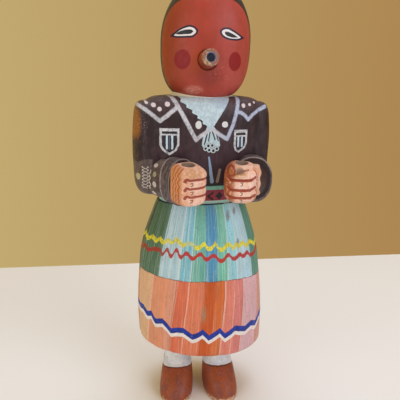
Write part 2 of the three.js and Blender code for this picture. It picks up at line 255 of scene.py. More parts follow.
def through(stations, spacing):
    """Points along the curve through stations, about spacing apart: cubic pieces whose slope at a station is that
    of the line between its two neighbours, measured along the chords."""
    knots = np.asarray(stations, float)
    chord = np.r_[0, np.cumsum(np.linalg.norm(np.diff(knots[:, :2], axis=0), axis=1))]
    slope = np.gradient(knots, chord, axis=0)
    at = np.linspace(0, chord[-1], max(2, int(chord[-1] / spacing) + 1))
    i = np.clip(np.searchsorted(chord, at, side="right") - 1, 0, len(chord) - 2)
    step = (chord[i + 1] - chord[i])[:, None]
    t = (at[:, None] - chord[i][:, None]) / step
    return (
        (1 + 2 * t) * (1 - t) ** 2 * knots[i]
        + t * (1 - t) ** 2 * step * slope[i]
        + t * t * (3 - 2 * t) * knots[i + 1]
        + t * t * (t - 1) * step * slope[i + 1]
    )


def turned(points, degrees):
    """Points turned about the upright axis, by one angle or by one for each ring."""
    a = np.radians(degrees) * np.ones(points.shape[:-1] if np.ndim(degrees) == 0 else 1)
    if np.ndim(degrees):
        a = np.radians(degrees)[:, None] * np.ones(points.shape[1])
    x, y, z = np.moveaxis(points, -1, 0)
    return np.stack([x * np.cos(a) - y * np.sin(a), x * np.sin(a) + y * np.cos(a), z], -1)


def round_sides(half_width, half_depth, power, spacing):
    """Rings r = (|cos/a|^p + |sin/b|^p)^(-1/p): power 2 is an ellipse, and more is squarer. One ring for each row."""
    a, b, p = (np.asarray(v, float)[..., None] for v in np.broadcast_arrays(half_width, half_depth, power))
    sides = int(2 * np.pi * max(a.max(), b.max()) / spacing / 2) * 2
    angle = np.linspace(0, 2 * np.pi, sides, endpoint=False)
    c, s = np.cos(angle), np.sin(angle)
    r = (np.abs(c / a) ** p + np.abs(s / b) ** p) ** (-1 / p)
    return r * c, r * s


def stacked(z, half_width, half_depth, power, spacing, turn=0.0, shift=(0, 0, 0)):
    """A grid of level rings, anticlockwise seen from above. shift is (dx, dy, dz), or gives it from x, y and z."""
    x, y = round_sides(half_width, half_depth, power * np.ones(len(z)), spacing)
    z = np.asarray(z, float)[:, None] * np.ones(x.shape[1])
    dx, dy, dz = shift(x, y, z) if callable(shift) else shift
    x, y, z = x + dx, y + dy, z + dz
    return turned(np.stack([x, y, z], -1), turn)


def standing(centres, direction, half_width, half_height, power, spacing):
    """A grid of upright rings, each across one level direction, anticlockwise seen from its far end."""
    u, v = round_sides(half_width, half_height, power * np.ones(len(centres)), spacing)
    across = np.cross((0, 0, 1), direction)
    up = np.cross(direction, across)
    return centres[:, None] + u[..., None] * across + v[..., None] * up


def outward(points):
    """Unit normals of a closed grid, from its neighbours round and along."""
    round_it = np.roll(points, -1, 1) - np.roll(points, 1, 1)
    normal = np.cross(round_it, np.gradient(points, axis=0))
    return normal / np.maximum(np.linalg.norm(normal, axis=-1, keepdims=True), 1e-9)


def waves(points):
    """A slow wandering between about -1 and 1: the mean of five sines along fixed slanting directions."""
    return np.sin(points @ np.array(WAVES).T + np.array(WAVE_STARTS)).mean(-1)


def scoops(points):
    """Shallow scoops of a knife: minus one at the middle of each scoop, rising with the square of the distance to the
    nearest middle, up to 0. Middles are strewn evenly at random, and stretched along Z like the grain."""
    low, high = points.reshape(-1, 3).min(0) - SCOOP_REACH, points.reshape(-1, 3).max(0) + SCOOP_REACH
    size = high - low
    count = int(np.clip(size.prod() / SCOOP_REACH**3 * SCOOP_DENSITY, *SCOOP_COUNTS))
    middles = low + np.random.default_rng(SCOOP_SEED).random((count, 3)) * size
    stretch = np.array(SCOOP_STRETCH)
    flat = (points * stretch).reshape(-1, 3)
    nearest = np.full(len(flat), np.inf)
    for middle in middles * stretch:
        np.minimum(nearest, ((flat - middle) ** 2).sum(1), out=nearest)
    return np.clip(nearest / SCOOP_REACH**2, 0, 1).reshape(points.shape[:-1]) - 1


def roughened(points, carving, amount=1.0):
    """The grid pushed along its normals by the wandering and the knife's scoops."""
    push = carving.unevenness * waves(points) + carving.knife_depth * scoops(points)
    return points + outward(points) * (amount * push / MM)[..., None]


def skirt_drop(x, z):
    """How far the slanting hem moves a point of the skirt: shift towards +X, and down at +X."""
    low = 1 - smooth(z, HEM_Z, WAIST_Z - 20)
    return SKIRT_SHIFT * low, -HEM_SLANT * (x / SKIRT_HALF) * low


def skirt_form(carving, spacing):
    """Narrow at the waist and swelling to a drum, with a rounded hem and shallow valleys between the pleats."""
    tall, wide = WAIST_Z - HEM_Z, SKIRT_HALF
    bend = np.linspace(0, np.pi / 2, 7)[:-1]
    hem = [(HEM_Z + HEM_ROUND * (1 - math.cos(b)), wide - 0.4 - HEM_ROUND * (1 - math.sin(b))) for b in bend]
    body = through(
        [
            (HEM_Z + HEM_ROUND, wide - 0.4),
            (HEM_Z + 0.22 * tall, wide),
            (HEM_Z + 0.5 * tall, wide - 1.6),
            (HEM_Z + 0.68 * tall, wide - 3.9),
            (HEM_Z + 0.82 * tall, wide - 7.8),
            (HEM_Z + 0.93 * tall, wide - 12),
            (WAIST_Z, SKIRT_TOP_HALF),
        ],
        spacing,
    )
    z, half = np.vstack([hem, body]).T
    ratio = SKIRT_DEPTH_RATIOS[0] + (SKIRT_DEPTH_RATIOS[1] - SKIRT_DEPTH_RATIOS[0]) * smooth(z, HEM_Z, WAIST_Z)

    def shift(x, y, z):
        dx, dz = skirt_drop(x, z)
        return dx, 0, dz

    turn = HEM_TURN + (WAIST_TURN - HEM_TURN) * smooth(z, HEM_Z, WAIST_Z)
    points = stacked(z, half, half * ratio, 2.04, spacing, turn, shift)
    angle = np.degrees(np.arctan2(points[..., 0], -points[..., 1]))
    gap = np.abs((angle[..., None] - np.array(PLEATS) + 180) % 360 - 180).min(-1)
    height = points[..., 2]
    valley = np.exp(-((gap / PLEAT_SPREAD) ** 2)) * smooth(height, HEM_Z - 4, HEM_Z + 10)
    valley = valley * (1 - 0.5 * smooth(height, 120, WAIST_Z))
    points = points - outward(points) * (carving.pleat_depth / MM * valley)[..., None]
    return roughened(points, carving)


def torso_form(carving, spacing):
    """The belt, set in a little, and the jacket's body up to sloping shoulders."""
    (width, depth), belt = CHEST_HALF, np.array(BELT_HALF)
    hem = belt + JACKET_STEP
    body = through(
        [
            (JACKET_HEM_Z + 0.4, *hem),
            (JACKET_HEM_Z + 2, *hem),
            (176, width - 4.5, depth - 0.8),
            (194, width, depth),
            (SHOULDER_Z - 9, width - 0.5, depth - 0.4),
            (SHOULDER_Z - 4, width - 2.5, depth - 2.2),
            (SHOULDER_Z - 1.2, width - 7, depth - 5.5),
            (SHOULDER_Z, width - 14, depth - 10),
        ],
        spacing,
    )
    belted = np.append(np.arange(WAIST_Z - 3, JACKET_HEM_Z - 0.3, spacing), JACKET_HEM_Z - 0.15)
    band = np.array([(z, *belt) for z in belted])
    z, a, b = np.vstack([band, body]).T
    up = smooth(z, WAIST_Z, 185)
    points = stacked(z, a, b, 2.2 + 0.8 * up, spacing, WAIST_TURN + (TORSO_TURN - WAIST_TURN) * up)
    return roughened(points, carving, 0.8)


def neck_form(spacing):
    width, depth = NECK_HALF
    z = np.array([-6, -3, 0.5, 2.5, 4]) + SHOULDER_Z
    inset = np.array([0, 0, 0.5, 1.2, 2])
    return stacked(z, width - inset, depth - inset, 2.2, spacing, TORSO_TURN)


def head_form(carving, spacing):
    """A tall rounded block: a superellipse in profile, domed above its middle and squarer below it."""
    angle = np.radians(np.linspace(-88.5, 88.5, int(2.9 * HEAD_HALF[0] / spacing)))
    above = angle > 0
    power = np.where(above, CROWN_POWER, JAW_POWER)
    reach = np.where(above, CROWN_Z - HEAD_MIDDLE_Z, HEAD_MIDDLE_Z - CHIN_Z)
    z = HEAD_MIDDLE_Z + reach * np.sign(angle) * np.abs(np.sin(angle)) ** (2 / power)
    share = np.cos(angle) ** (2 / power)
    lean = math.tan(math.radians(HEAD_LEAN))
    points = stacked(
        z,
        HEAD_HALF[0] * share,
        HEAD_HALF[1] * share**0.9,
        2.2,
        spacing,
        HEAD_TURN,
        lambda x, y, z: (HEAD_SHIFT + lean * (z - CHIN_Z), 0, 0),
    )
    return roughened(points, carving, 0.55)


def upper_arm_form(side, carving, spacing):
    low, high = ELBOW_Z - SLEEVE_HALF[1], SHOULDER_Z - SHOULDER_DROP
    width = ARM_HALF[0]
    z, half = through(
        [
            (low + 0.4, 0.5 * width),
            (low + 1.8, 0.72 * width),
            (low + 4.5, 0.88 * width),
            (low + 9, 0.97 * width),
            (low + 16, width),
            (high - 12, width),
            (high - 6.5, 0.95 * width),
            (high - 3, 0.86 * width),
            (high - 0.9, 0.72 * width),
            (high, 0.52 * width),
        ],
        spacing,
    ).T
    share = half / width
    points = stacked(z, ARM_HALF[0] * share, ARM_HALF[1] * share, 2.7, spacing, shift=(side * ARM_X, 0, 0))
    return roughened(turned(points, TORSO_TURN), carving, 0.8)


def level_direction(start, end):
    along = np.subtract(end, start)[:2]
    return np.array([*(along / np.linalg.norm(along)), 0.0])


def sleeve_form(side, carving, spacing):
    """Upright rings from inside the elbow to the cuff's end, easing to the cuff's own width, with a raised cuff."""
    elbow, wrist = np.array([side * ARM_X, 0, ELBOW_Z]), np.array(WRISTS[side > 0])
    reach = np.linalg.norm(wrist - elbow)
    cuff = reach - CUFF_LENGTH
    distance, share = through([(-7, 6), (-4.5, 8.6), (2, 9.7), (10, 10), (cuff, 9.8)], spacing).T
    raised = np.arange(cuff + 0.4, reach, spacing)
    distance = np.r_[distance, raised, reach]
    share = np.r_[share / 10, np.linspace(0.98, 1, len(raised) + 1)]
    step = CUFF_STEP * (distance > cuff + 0.2)
    taper = SLEEVE_HALF[0] + (CUFF_HALF_WIDTHS[side > 0] - CUFF_STEP - SLEEVE_HALF[0]) * smooth(distance, 0, reach)
    centres = elbow + (distance / reach)[:, None] * (wrist - elbow)
    height = SLEEVE_HALF[1] * share + step + CUFF_EXTRA_HEIGHT * (step > 0)
    points = standing(centres, level_direction(elbow, wrist), taper * share + step, height, 2.3, spacing)
    return turned(roughened(points, carving, 0.6), TORSO_TURN)


def hand_form(side, spacing):
    wrist, fist = np.array(WRISTS[side > 0]), np.array(FISTS[side > 0])
    share = np.linspace(-0.4, 0.8, 9)[:, None]
    points = standing(fist + (share - 1) * (fist - wrist), level_direction(wrist, fist), *HAND_HALF, 2.4, spacing)
    return turned(points, TORSO_TURN)


def fist_form(side, carving, spacing):
    """An upright block with rounded ends and a sloping top. Three V cuts part the fingers over its front, and a thumb
    lies as a low ridge along the inner edge of the top."""
    across, along, tall = FIST_WIDTHS[side > 0], FIST_ALONG, FIST_TALL
    height = np.sin(np.linspace(-np.pi / 2, np.pi / 2, int(2.6 * tall / spacing)))
    share = (1 - 0.85 * np.abs(height) ** FIST_ROUNDING[side > 0]) ** 0.55

    def slope(x, y, z):
        return 0, 0, 0.16 * y * smooth(z / tall, 0.3, 1)

    points = stacked(tall * height, across * share, along * share, 2.8, spacing, 0.0, slope)
    x, y, z = np.moveaxis(points, -1, 0)
    cuts = sum(np.clip(1 - np.abs(z - line) / 1.0, 0, 1) ** 1.3 for line in FINGER_LINES[side > 0])
    cuts = cuts * (1 - smooth(y, -2, 4)) * (1 - smooth(-side * x, 6.5, 9.5))
    middles = np.array(FINGER_LINES[side > 0]) + FINGER_MIDDLE
    bulge = sum(np.exp(-(((z - middle) / FINGER_SPREAD) ** 2)) for middle in middles) * (1 - smooth(y, -6, 0))
    start, end = (np.array([-side * x, y, z]) for x, y, z in (THUMB_START, THUMB_END))
    t = np.clip((points - start) @ (end - start) / ((end - start) ** 2).sum(), 0, 1)
    thumb = np.exp(-((np.linalg.norm(points - start - t[..., None] * (end - start), axis=-1) / THUMB_RADIUS) ** 2))
    push = THUMB_HEIGHT * thumb + FINGER_SWELL * bulge - carving.finger_depth / MM * cuts
    points = points + outward(points) * push[..., None]
    points = roughened(turned(points, -side * FIST_YAW), carving, 0.4) + np.array(FISTS[side > 0])
    return turned(points, TORSO_TURN)


def leg_form(side, carving, spacing):
    z = np.arange(ANKLE_Z - 8, HEM_Z + 8, spacing)
    radius = LEG_RADIUS + LEG_WIDENING * smooth(z, ANKLE_Z + 4, HEM_Z + 8)
    radius = radius + ANKLE_SWELL * (1 - smooth(z, ANKLE_Z + 0.5, ANKLE_Z + 2.5))
    points = stacked(z, radius, radius, 2.0, spacing, shift=(side * LEG_X, 0, 0))
    return turned(roughened(points, carving, 0.7), FEET_TURN[side > 0])


def shoe_form(side, carving, spacing):
    """A moccasin: each level is a squarish oval, and higher levels are narrower and drawn back to the ankle."""
    z = np.r_[np.linspace(0, 1.6, 4)[:-1], np.arange(1.6, ANKLE_Z, spacing), ANKLE_Z]
    share = z / ANKLE_Z
    size = 1 - 0.05 * (1 - share) ** 6 - 0.15 * share**2
    x, y = round_sides(SHOE_HALF_WIDTH * size, SHOE_LENGTH / 2 * np.ones(len(z)), 2.35, spacing)
    share = share[:, None]
    back = 0.47 * share**2
    toe = smooth(-y, -SHOE_LENGTH / 2, SHOE_LENGTH / 2)
    along = SHOE_HEEL_Y - SHOE_LENGTH / 2 + y * (1 - back) + back * SHOE_LENGTH / 2
    across = side * LEG_X + x * (1 + 0.07 * toe * (1 - share)) + 1.2 * toe * side * (1 - share)
    points = np.stack([across, along, z[:, None] * np.ones(x.shape[1])], -1)
    rough = roughened(points, carving, 0.7)
    rough[..., 2] = np.where(points[..., 2] < 0.01, 0, np.maximum(rough[..., 2], 0))
    return turned(rough, FEET_TURN[side > 0])


def tube(start, end, start_radius, end_radius, rounding=0.0, rings=24, sides=64):
    """Rings along the mouth's axis between two distances from the mask's front, the far rim rounded over."""
    t = np.linspace(0, 1, rings)
    distance, radius = start + (end - start) * t, start_radius + (end_radius - start_radius) * t
    if rounding:
        bend = np.linspace(0, np.pi / 2, 8)[1:]
        keep = distance < end - rounding
        distance = np.r_[distance[keep], end - rounding + rounding * np.sin(bend)]
        radius = np.r_[radius[keep], end_radius - rounding + rounding * np.cos(bend)]
    angle = np.linspace(0, 2 * np.pi, sides, endpoint=False)
    x = radius[:, None] * np.cos(angle)
    z = radius[:, None] * np.sin(angle)
    y = -distance[:, None] * np.ones(sides)
    rise = math.radians(MOUTH_RISE)
    level = np.stack([x, y * math.cos(rise) + z * math.sin(rise), z * math.cos(rise) - y * math.sin(rise)], -1)
    return turned(level + np.array([MOUTH_SHIFT, 0.4 - HEAD_HALF[1], MOUTH_Z]), HEAD_TURN)


def bore_form(side):
    x, y, z = FISTS[side > 0]
    levels = z + np.linspace(-2, 2, 12) * FIST_TALL
    radius = BORE_RADIUS * np.ones(len(levels))
    points = stacked(levels, radius, radius, 2.0, 0.6, shift=(x, y, 0))
    return turned(points, TORSO_TURN)


# ---------------------------------------------------------------- meshes


def closed_mesh(name, points, finish=0, finish_of=None):
    """A closed mesh from a grid of rings: a quad between neighbours, and each end closed by a fan round its middle.
    finish_of gives each quad row's finish from the row's own height."""
    rings, sides = points.shape[:2]
    place = np.array([*AXIS, 0.0])
    ends = np.stack([points[0].mean(0), points[-1].mean(0)])
    spots = (np.vstack([points.reshape(-1, 3), ends]) + place) * MM
    corner = np.arange(rings * sides).reshape(rings, sides)
    following = np.roll(corner, -1, 1)
    quads = np.stack([corner[:-1], following[:-1], following[1:], corner[1:]], -1).reshape(-1, 4)
    low = np.stack([following[0], corner[0], np.full(sides, rings * sides)], -1)
    high = np.stack([corner[-1], following[-1], np.full(sides, rings * sides + 1)], -1)
    mesh = bpy.data.meshes.new(name)
    mesh.from_pydata(spots, [], quads.tolist() + low.tolist() + high.tolist())
    finishes = np.full(len(mesh.polygons), finish, np.int32)
    if finish_of is not None:
        rows = np.repeat(finish_of(points[:-1, :, 2].mean(1)), sides)
        finishes[: len(rows)] = rows
        finishes[len(rows) : len(rows) + sides] = rows[0]
        finishes[len(rows) + sides :] = rows[-1]
    mesh.polygons.foreach_set("material_index", finishes)
    return mesh


def placed(name, mesh, materials):
    piece = bpy.data.objects.new(name, mesh)
    for material in materials:
        mesh.materials.append(material)
    bpy.context.scene.collection.objects.link(piece)
    return piece


def combined(base, other, operation):
    """base joined with or cut by other, which is used up."""
    step = base.modifiers.new(operation.title(), "BOOLEAN")
    step.operation, step.solver, step.object = operation, "MANIFOLD", other
    made = bpy.data.meshes.new_from_object(base.evaluated_get(bpy.context.evaluated_depsgraph_get()))
    base.modifiers.clear()
    spent = (base.data, other.data)
    base.data = made
    bpy.data.objects.remove(other)
    for mesh in spent:
        bpy.data.meshes.remove(mesh)
    return base


def checked(piece):
    """Raises an error unless every edge of the piece has two faces."""
    mesh = piece.data
    edges = np.zeros(len(mesh.loops), np.int64)
    mesh.loops.foreach_get("edge_index", edges)
    if len(mesh.polygons) == 0 or not (np.bincount(edges, minlength=len(mesh.edges)) == 2).all():
        raise RuntimeError(piece.name + " isn't one closed surface")
    mesh.shade_smooth()
    mesh.set_sharp_from_angle(angle=math.radians(SHARP_ANGLE))
    mesh.validate()
    return piece


# ---------------------------------------------------------------- paint


def formula(operation, swapped=False):
    """An arithmetic method of a field, or its mirror image when swapped."""
    return lambda self, other: self.formulas.math(operation, *((other, self) if swapped else (self, other)))


class Field:
    """A number or a vector that varies over the surface, so that formulas read as arithmetic."""

    def __init__(self, formulas, socket):
        self.formulas, self.socket = formulas, socket

    def __neg__(self):
        return self * -1

    def __abs__(self):
        return self.formulas.math("ABSOLUTE", self)

    __add__ = __radd__ = formula("ADD")
    __mul__ = __rmul__ = formula("MULTIPLY")
    __sub__, __rsub__, __truediv__ = formula("SUBTRACT"), formula("SUBTRACT", True), formula("DIVIDE")


class Formulas:
    """Nodes of one tree, written as formulas of fields."""

    def __init__(self, tree):
        self.tree = tree

    def node(self, kind, **settings):
        """A node with its properties and inputs set by name; an input takes a value, a socket or a field."""
        node = self.tree.nodes.new(kind)
        for name, value in settings.items():
            if isinstance(value, Field):
                value = value.socket
            key = name.replace("_", " ").title() if name.islower() and name not in node.bl_rna.properties else name
            if name in node.bl_rna.properties:
                setattr(node, name, value)
            elif isinstance(value, bpy.types.NodeSocket):
                self.tree.links.new(value, node.inputs[key])
            else:
                node.inputs[key].default_value = value
        return node

    def feed(self, socket, value):
        if isinstance(value, Field):
            self.tree.links.new(value.socket, socket)
        else:
            socket.default_value = value

    def math(self, operation, *values):
        node = self.tree.nodes.new("ShaderNodeMath")
        node.operation = operation
        for socket, value in zip(node.inputs, values):
            self.feed(socket, value)
        return Field(self, node.outputs[0])

    def vector(self, operation, a, b):
        node = self.tree.nodes.new("ShaderNodeVectorMath")
        node.operation = operation
        self.feed(node.inputs[0], a)
        self.feed(node.inputs[3 if operation == "SCALE" else 1], b)
        return Field(self, node.outputs[1 if operation in ("DOT_PRODUCT", "DISTANCE") else 0])

    def split(self, vector):
        node = self.node("ShaderNodeSeparateXYZ", Vector=vector)
        return [Field(self, output) for output in node.outputs]

    def join(self, x, y, z):
        node = self.tree.nodes.new("ShaderNodeCombineXYZ")
        for socket, value in zip(node.inputs, (x, y, z)):
            self.feed(socket, value)
        return Field(self, node.outputs[0])

    def lower(self, *values):
        return reduce(lambda a, b: self.math("MINIMUM", a, b), values)

    def higher(self, *values):
        return reduce(lambda a, b: self.math("MAXIMUM", a, b), values)


def stroke_group():
    """A node group: the distance from a point to the stroke between two ends, and how far along it, from 0 to 1."""
    group = bpy.data.node_groups.get("Stroke") or bpy.data.node_groups.new("Stroke", "ShaderNodeTree")
    if group.nodes:
        return group
    for name in ("Point", "Start", "End"):
        group.interface.new_socket(name, in_out="INPUT", socket_type="NodeSocketVector")
    for name in ("Distance", "Along"):
        group.interface.new_socket(name, in_out="OUTPUT", socket_type="NodeSocketFloat")
    f = Formulas(group)
    point, start, end = (Field(f, socket) for socket in list(f.node("NodeGroupInput").outputs)[:3])
    result = f.node("NodeGroupOutput")
    from_start, whole = f.vector("SUBTRACT", point, start), f.vector("SUBTRACT", end, start)
    share = f.node("ShaderNodeMath", operation="DIVIDE", use_clamp=True)
    f.feed(share.inputs[0], f.vector("DOT_PRODUCT", from_start, whole))
    f.feed(share.inputs[1], f.vector("DOT_PRODUCT", whole, whole))
    along = Field(f, share.outputs[0])
    f.feed(result.inputs[0], f.vector("DISTANCE", from_start, f.vector("SCALE", whole, along)))
    f.feed(result.inputs[1], along)
    return group


class Recipe(Formulas):
    """One painted finish, built up from coats over a ground colour. Places are in millimetres in a local frame, whose
    origin and turns are given when the recipe is begun."""

    def __init__(self, name, origin, turn=0.0, lean=0.0, wobble=0.35):
        self.material = bpy.data.materials.new(name)
        self.material.use_nodes = True
        super().__init__(self.material.node_tree)
        self.tree.nodes.clear()
        coordinates = self.tree.nodes.new("ShaderNodeTexCoord")
        mapping = self.node(
            "ShaderNodeMapping",
            vector_type="TEXTURE",
            Vector=coordinates.outputs["Object"],
            Location=[v * MM for v in origin],
            Rotation=(0, math.radians(lean), math.radians(turn)),
            Scale=(MM, MM, MM),
        )
        self.true_point = Field(self, mapping.outputs[0])
        shake = self.node("ShaderNodeTexNoise", Vector=self.true_point, Scale=WOBBLE_SCALE, Detail=2.0)
        centred = self.vector("SUBTRACT", Field(self, shake.outputs["Color"]), (0.5, 0.5, 0.5))
        point = self.vector("ADD", self.true_point, self.vector("SCALE", centred, 2 * wobble))
        self.x, self.y, self.z = self.split(point)
        self.front = self.join(self.x, 0, self.z)

    def ramp(self, value, low, high, start=0.0, end=1.0, eased=True):
        node = self.node("ShaderNodeMapRange", clamp=True, interpolation_type="SMOOTHSTEP" if eased else "LINEAR")
        for socket, given in zip(node.inputs, (value, low, high, start, end)):
            self.feed(socket, given)
        return Field(self, node.outputs[0])

    def under(self, value, limit, soft=0.12):
        """1 where value is under limit and 0 where it is over."""
        return self.ramp(value, limit - soft, limit + soft, 1.0, 0.0)

    def over(self, value, limit, soft=0.12):
        return self.ramp(value, limit - soft, limit + soft)

    def noise(self, scale, detail=3.0, stretch=(1, 1, 1), roughness=0.55, offset=0.0):
        spot = self.vector("MULTIPLY", self.true_point, stretch)
        if offset:
            spot = self.vector("ADD", spot, (offset, offset * 0.7, -offset))
        node = self.node("ShaderNodeTexNoise", Vector=spot, Scale=scale, Detail=detail, Roughness=roughness)
        return Field(self, node.outputs["Fac"])

    def patches(self, limit, soft, scale, detail=3.0, stretch=(1, 1, 1), roughness=0.55, offset=0.0):
        """The mask of ragged patches, where a noise is over limit."""
        return self.over(self.noise(scale, detail, stretch, roughness, offset), limit, soft)

    def close(self, value, width, soft=0.12):
        """The mask of the places where value is within width of 0."""
        return self.under(abs(value), width, soft)

    def stroke(self, start, end, plane=None):
        node = self.node("ShaderNodeGroup", node_tree=stroke_group())
        self.feed(node.inputs[0], plane or self.front)
        node.inputs[1].default_value = (start[0], 0, start[1])
        node.inputs[2].default_value = (end[0], 0, end[1])
        return Field(self, node.outputs[0]), Field(self, node.outputs[1])

    def line(self, spots, half_width, plane=None, soft=0.12):
        """The mask of a brush line through spots."""
        near = self.lower(*[self.stroke(a, b, plane)[0] for a, b in zip(spots, spots[1:])])
        return self.under(near, half_width, soft)

    def lines(self, strokes, soft=0.12):
        """The mask of several brush lines, each given as its half width and its spots."""
        return self.higher(*[self.line(spots, half_width, soft=soft) for half_width, *spots in strokes])

    def disc(self, middle, half_width, half_height=None, plane=None):
        """The distance from middle as a share of the half sizes: 1 on the edge."""
        away = self.vector("SUBTRACT", plane or self.front, (middle[0], 0, middle[1]))
        scaled = self.vector("MULTIPLY", away, (1 / half_width, 0, 1 / (half_height or half_width)))
        return self.vector("DISTANCE", scaled, (0, 0, 0))

    def oval(self, middle, half_width, half_height, soft=0.12, plane=None):
        return self.under(self.disc(middle, half_width, half_height, plane), 1.0, soft)

    def dots(self, spots, plane=None):
        """The mask of round dots, each given as (x, z, radius)."""
        return self.higher(*[self.under(self.disc((x, z), r, plane=plane), 1.0, 0.1) for x, z, r in spots])

    def outside(self, corners, plane=None, rounding=0.0):
        """The distance outside a convex outline, whose corners run anticlockwise. Rounding blends its edges."""
        edges = []
        for (x0, z0), (x1, z1) in zip(corners, corners[1:] + corners[:1]):
            size = math.hypot(x1 - x0, z1 - z0)
            normal = ((z1 - z0) / size, 0, -(x1 - x0) / size)
            reach = normal[0] * x0 + normal[2] * z0
            edges.append(self.vector("DOT_PRODUCT", plane or self.front, normal) - reach)
        if not rounding:
            return self.higher(*edges)
        return reduce(lambda a, b: self.math("SMOOTH_MAX", a, b, rounding), edges)

    def drawn(self, value, spots, handle="VECTOR"):
        """A painted line: its height at value, through spots given as (value, height)."""
        (first, _), (last, _) = spots[0], spots[-1]
        heights = [height for _, height in spots]
        low, high = min(heights) - 1, max(heights) + 1
        node = self.tree.nodes.new("ShaderNodeFloatCurve")
        node.mapping.extend = "HORIZONTAL"
        points = node.mapping.curves[0].points
        for i, (spot, height) in enumerate(spots):
            place = ((spot - first) / (last - first), (height - low) / (high - low))
            if i == 0 or i == len(spots) - 1:
                points[0 if i == 0 else len(points) - 1].location = place
            else:
                points.new(*place)
        for point in points:
            point.handle_type = handle
        node.mapping.update()
        self.feed(node.inputs["Value"], self.ramp(value, first, last, eased=False))
        return Field(self, node.outputs[0]) * (high - low) + low

    def coat(self, under, over, mask):
        """over laid on under where mask is 1. Colours are fields or plain colours."""
        node = self.node("ShaderNodeMix", data_type="RGBA")
        self.feed(node.inputs[0], mask)
        for socket, value in ((node.inputs[6], under), (node.inputs[7], over)):
            self.feed(socket, value if isinstance(value, Field) else rgba(value))
        return Field(self, node.outputs[2])

    def lay(self, over, mask):
        """A coat over the finish so far."""
        self.shade = self.coat(self.shade, over, mask)

    def bands(self, value, stops):
        """Plain bands of colour along value, which runs from 0 to 1: each stop is where its colour starts."""
        node = self.node("ShaderNodeValToRGB", Fac=value)
        ramp = node.color_ramp
        ramp.interpolation = "CONSTANT"
        while len(ramp.elements) < len(stops):
            ramp.elements.new(1.0)
        for element, (start, shade) in zip(ramp.elements, stops):
            element.position, element.color = start, rgba(shade)
        return Field(self, node.outputs["Color"])

    def brushed(self, shade, depth=0.16, stretch=(1, 1, 0.25), scale=0.5):
        """The colour made lighter and darker along brush strokes and in slow patches."""
        strokes = self.noise(scale, 4.0, stretch, 0.6)
        patches = self.noise(0.07, 2.0, offset=31.0)
        fine = self.ramp(strokes, 0.3, 0.7, 1 - depth, 1 + depth, eased=False)
        value = fine * self.ramp(patches, 0.3, 0.7, 1 - depth * 0.6, 1 + depth * 0.6, eased=False)
        node = self.node("ShaderNodeHueSaturation")
        self.feed(node.inputs["Color"], shade if isinstance(shade, Field) else rgba(shade))
        self.feed(node.inputs["Value"], value)
        return Field(self, node.outputs[0])

    def brush(self, *strokes):
        """Brush marks in the finish so far."""
        self.shade = self.brushed(self.shade, *strokes)

    def bare_wood(self, wood):
        grain = self.noise(1.4, 4.0, (1, 1, 0.12), 0.6, offset=7.0)
        return self.coat([c * GRAIN_SHADE for c in rgba(wood)[:3]], wood, self.ramp(grain, 0.35, 0.65))

    def finish(self, roughness=(0.5, 0.68), bump=0.35, relief=None):
        """The shader: the painted colour, a roughness that varies with the brush marks, and fine raised strokes."""
        strokes = self.noise(1.1, 5.0, (1, 1, 0.3), 0.65, offset=13.0)
        height = strokes * STROKE_RELIEF if relief is None else strokes * STROKE_RELIEF + relief
        raised = self.node("ShaderNodeBump", Strength=bump, Distance=MM)
        self.feed(raised.inputs["Height"], height)
        shader = self.node("ShaderNodeBsdfPrincipled", Normal=raised.outputs[0])
        self.feed(shader.inputs["Base Color"], self.shade)
        self.feed(shader.inputs["Roughness"], self.ramp(self.noise(0.35, 3.0, offset=3.0), 0.3, 0.7, *roughness))
        shader.inputs["Specular IOR Level"].default_value = SPECULAR
        self.node("ShaderNodeOutputMaterial", Surface=shader.outputs[0])
        return self.material


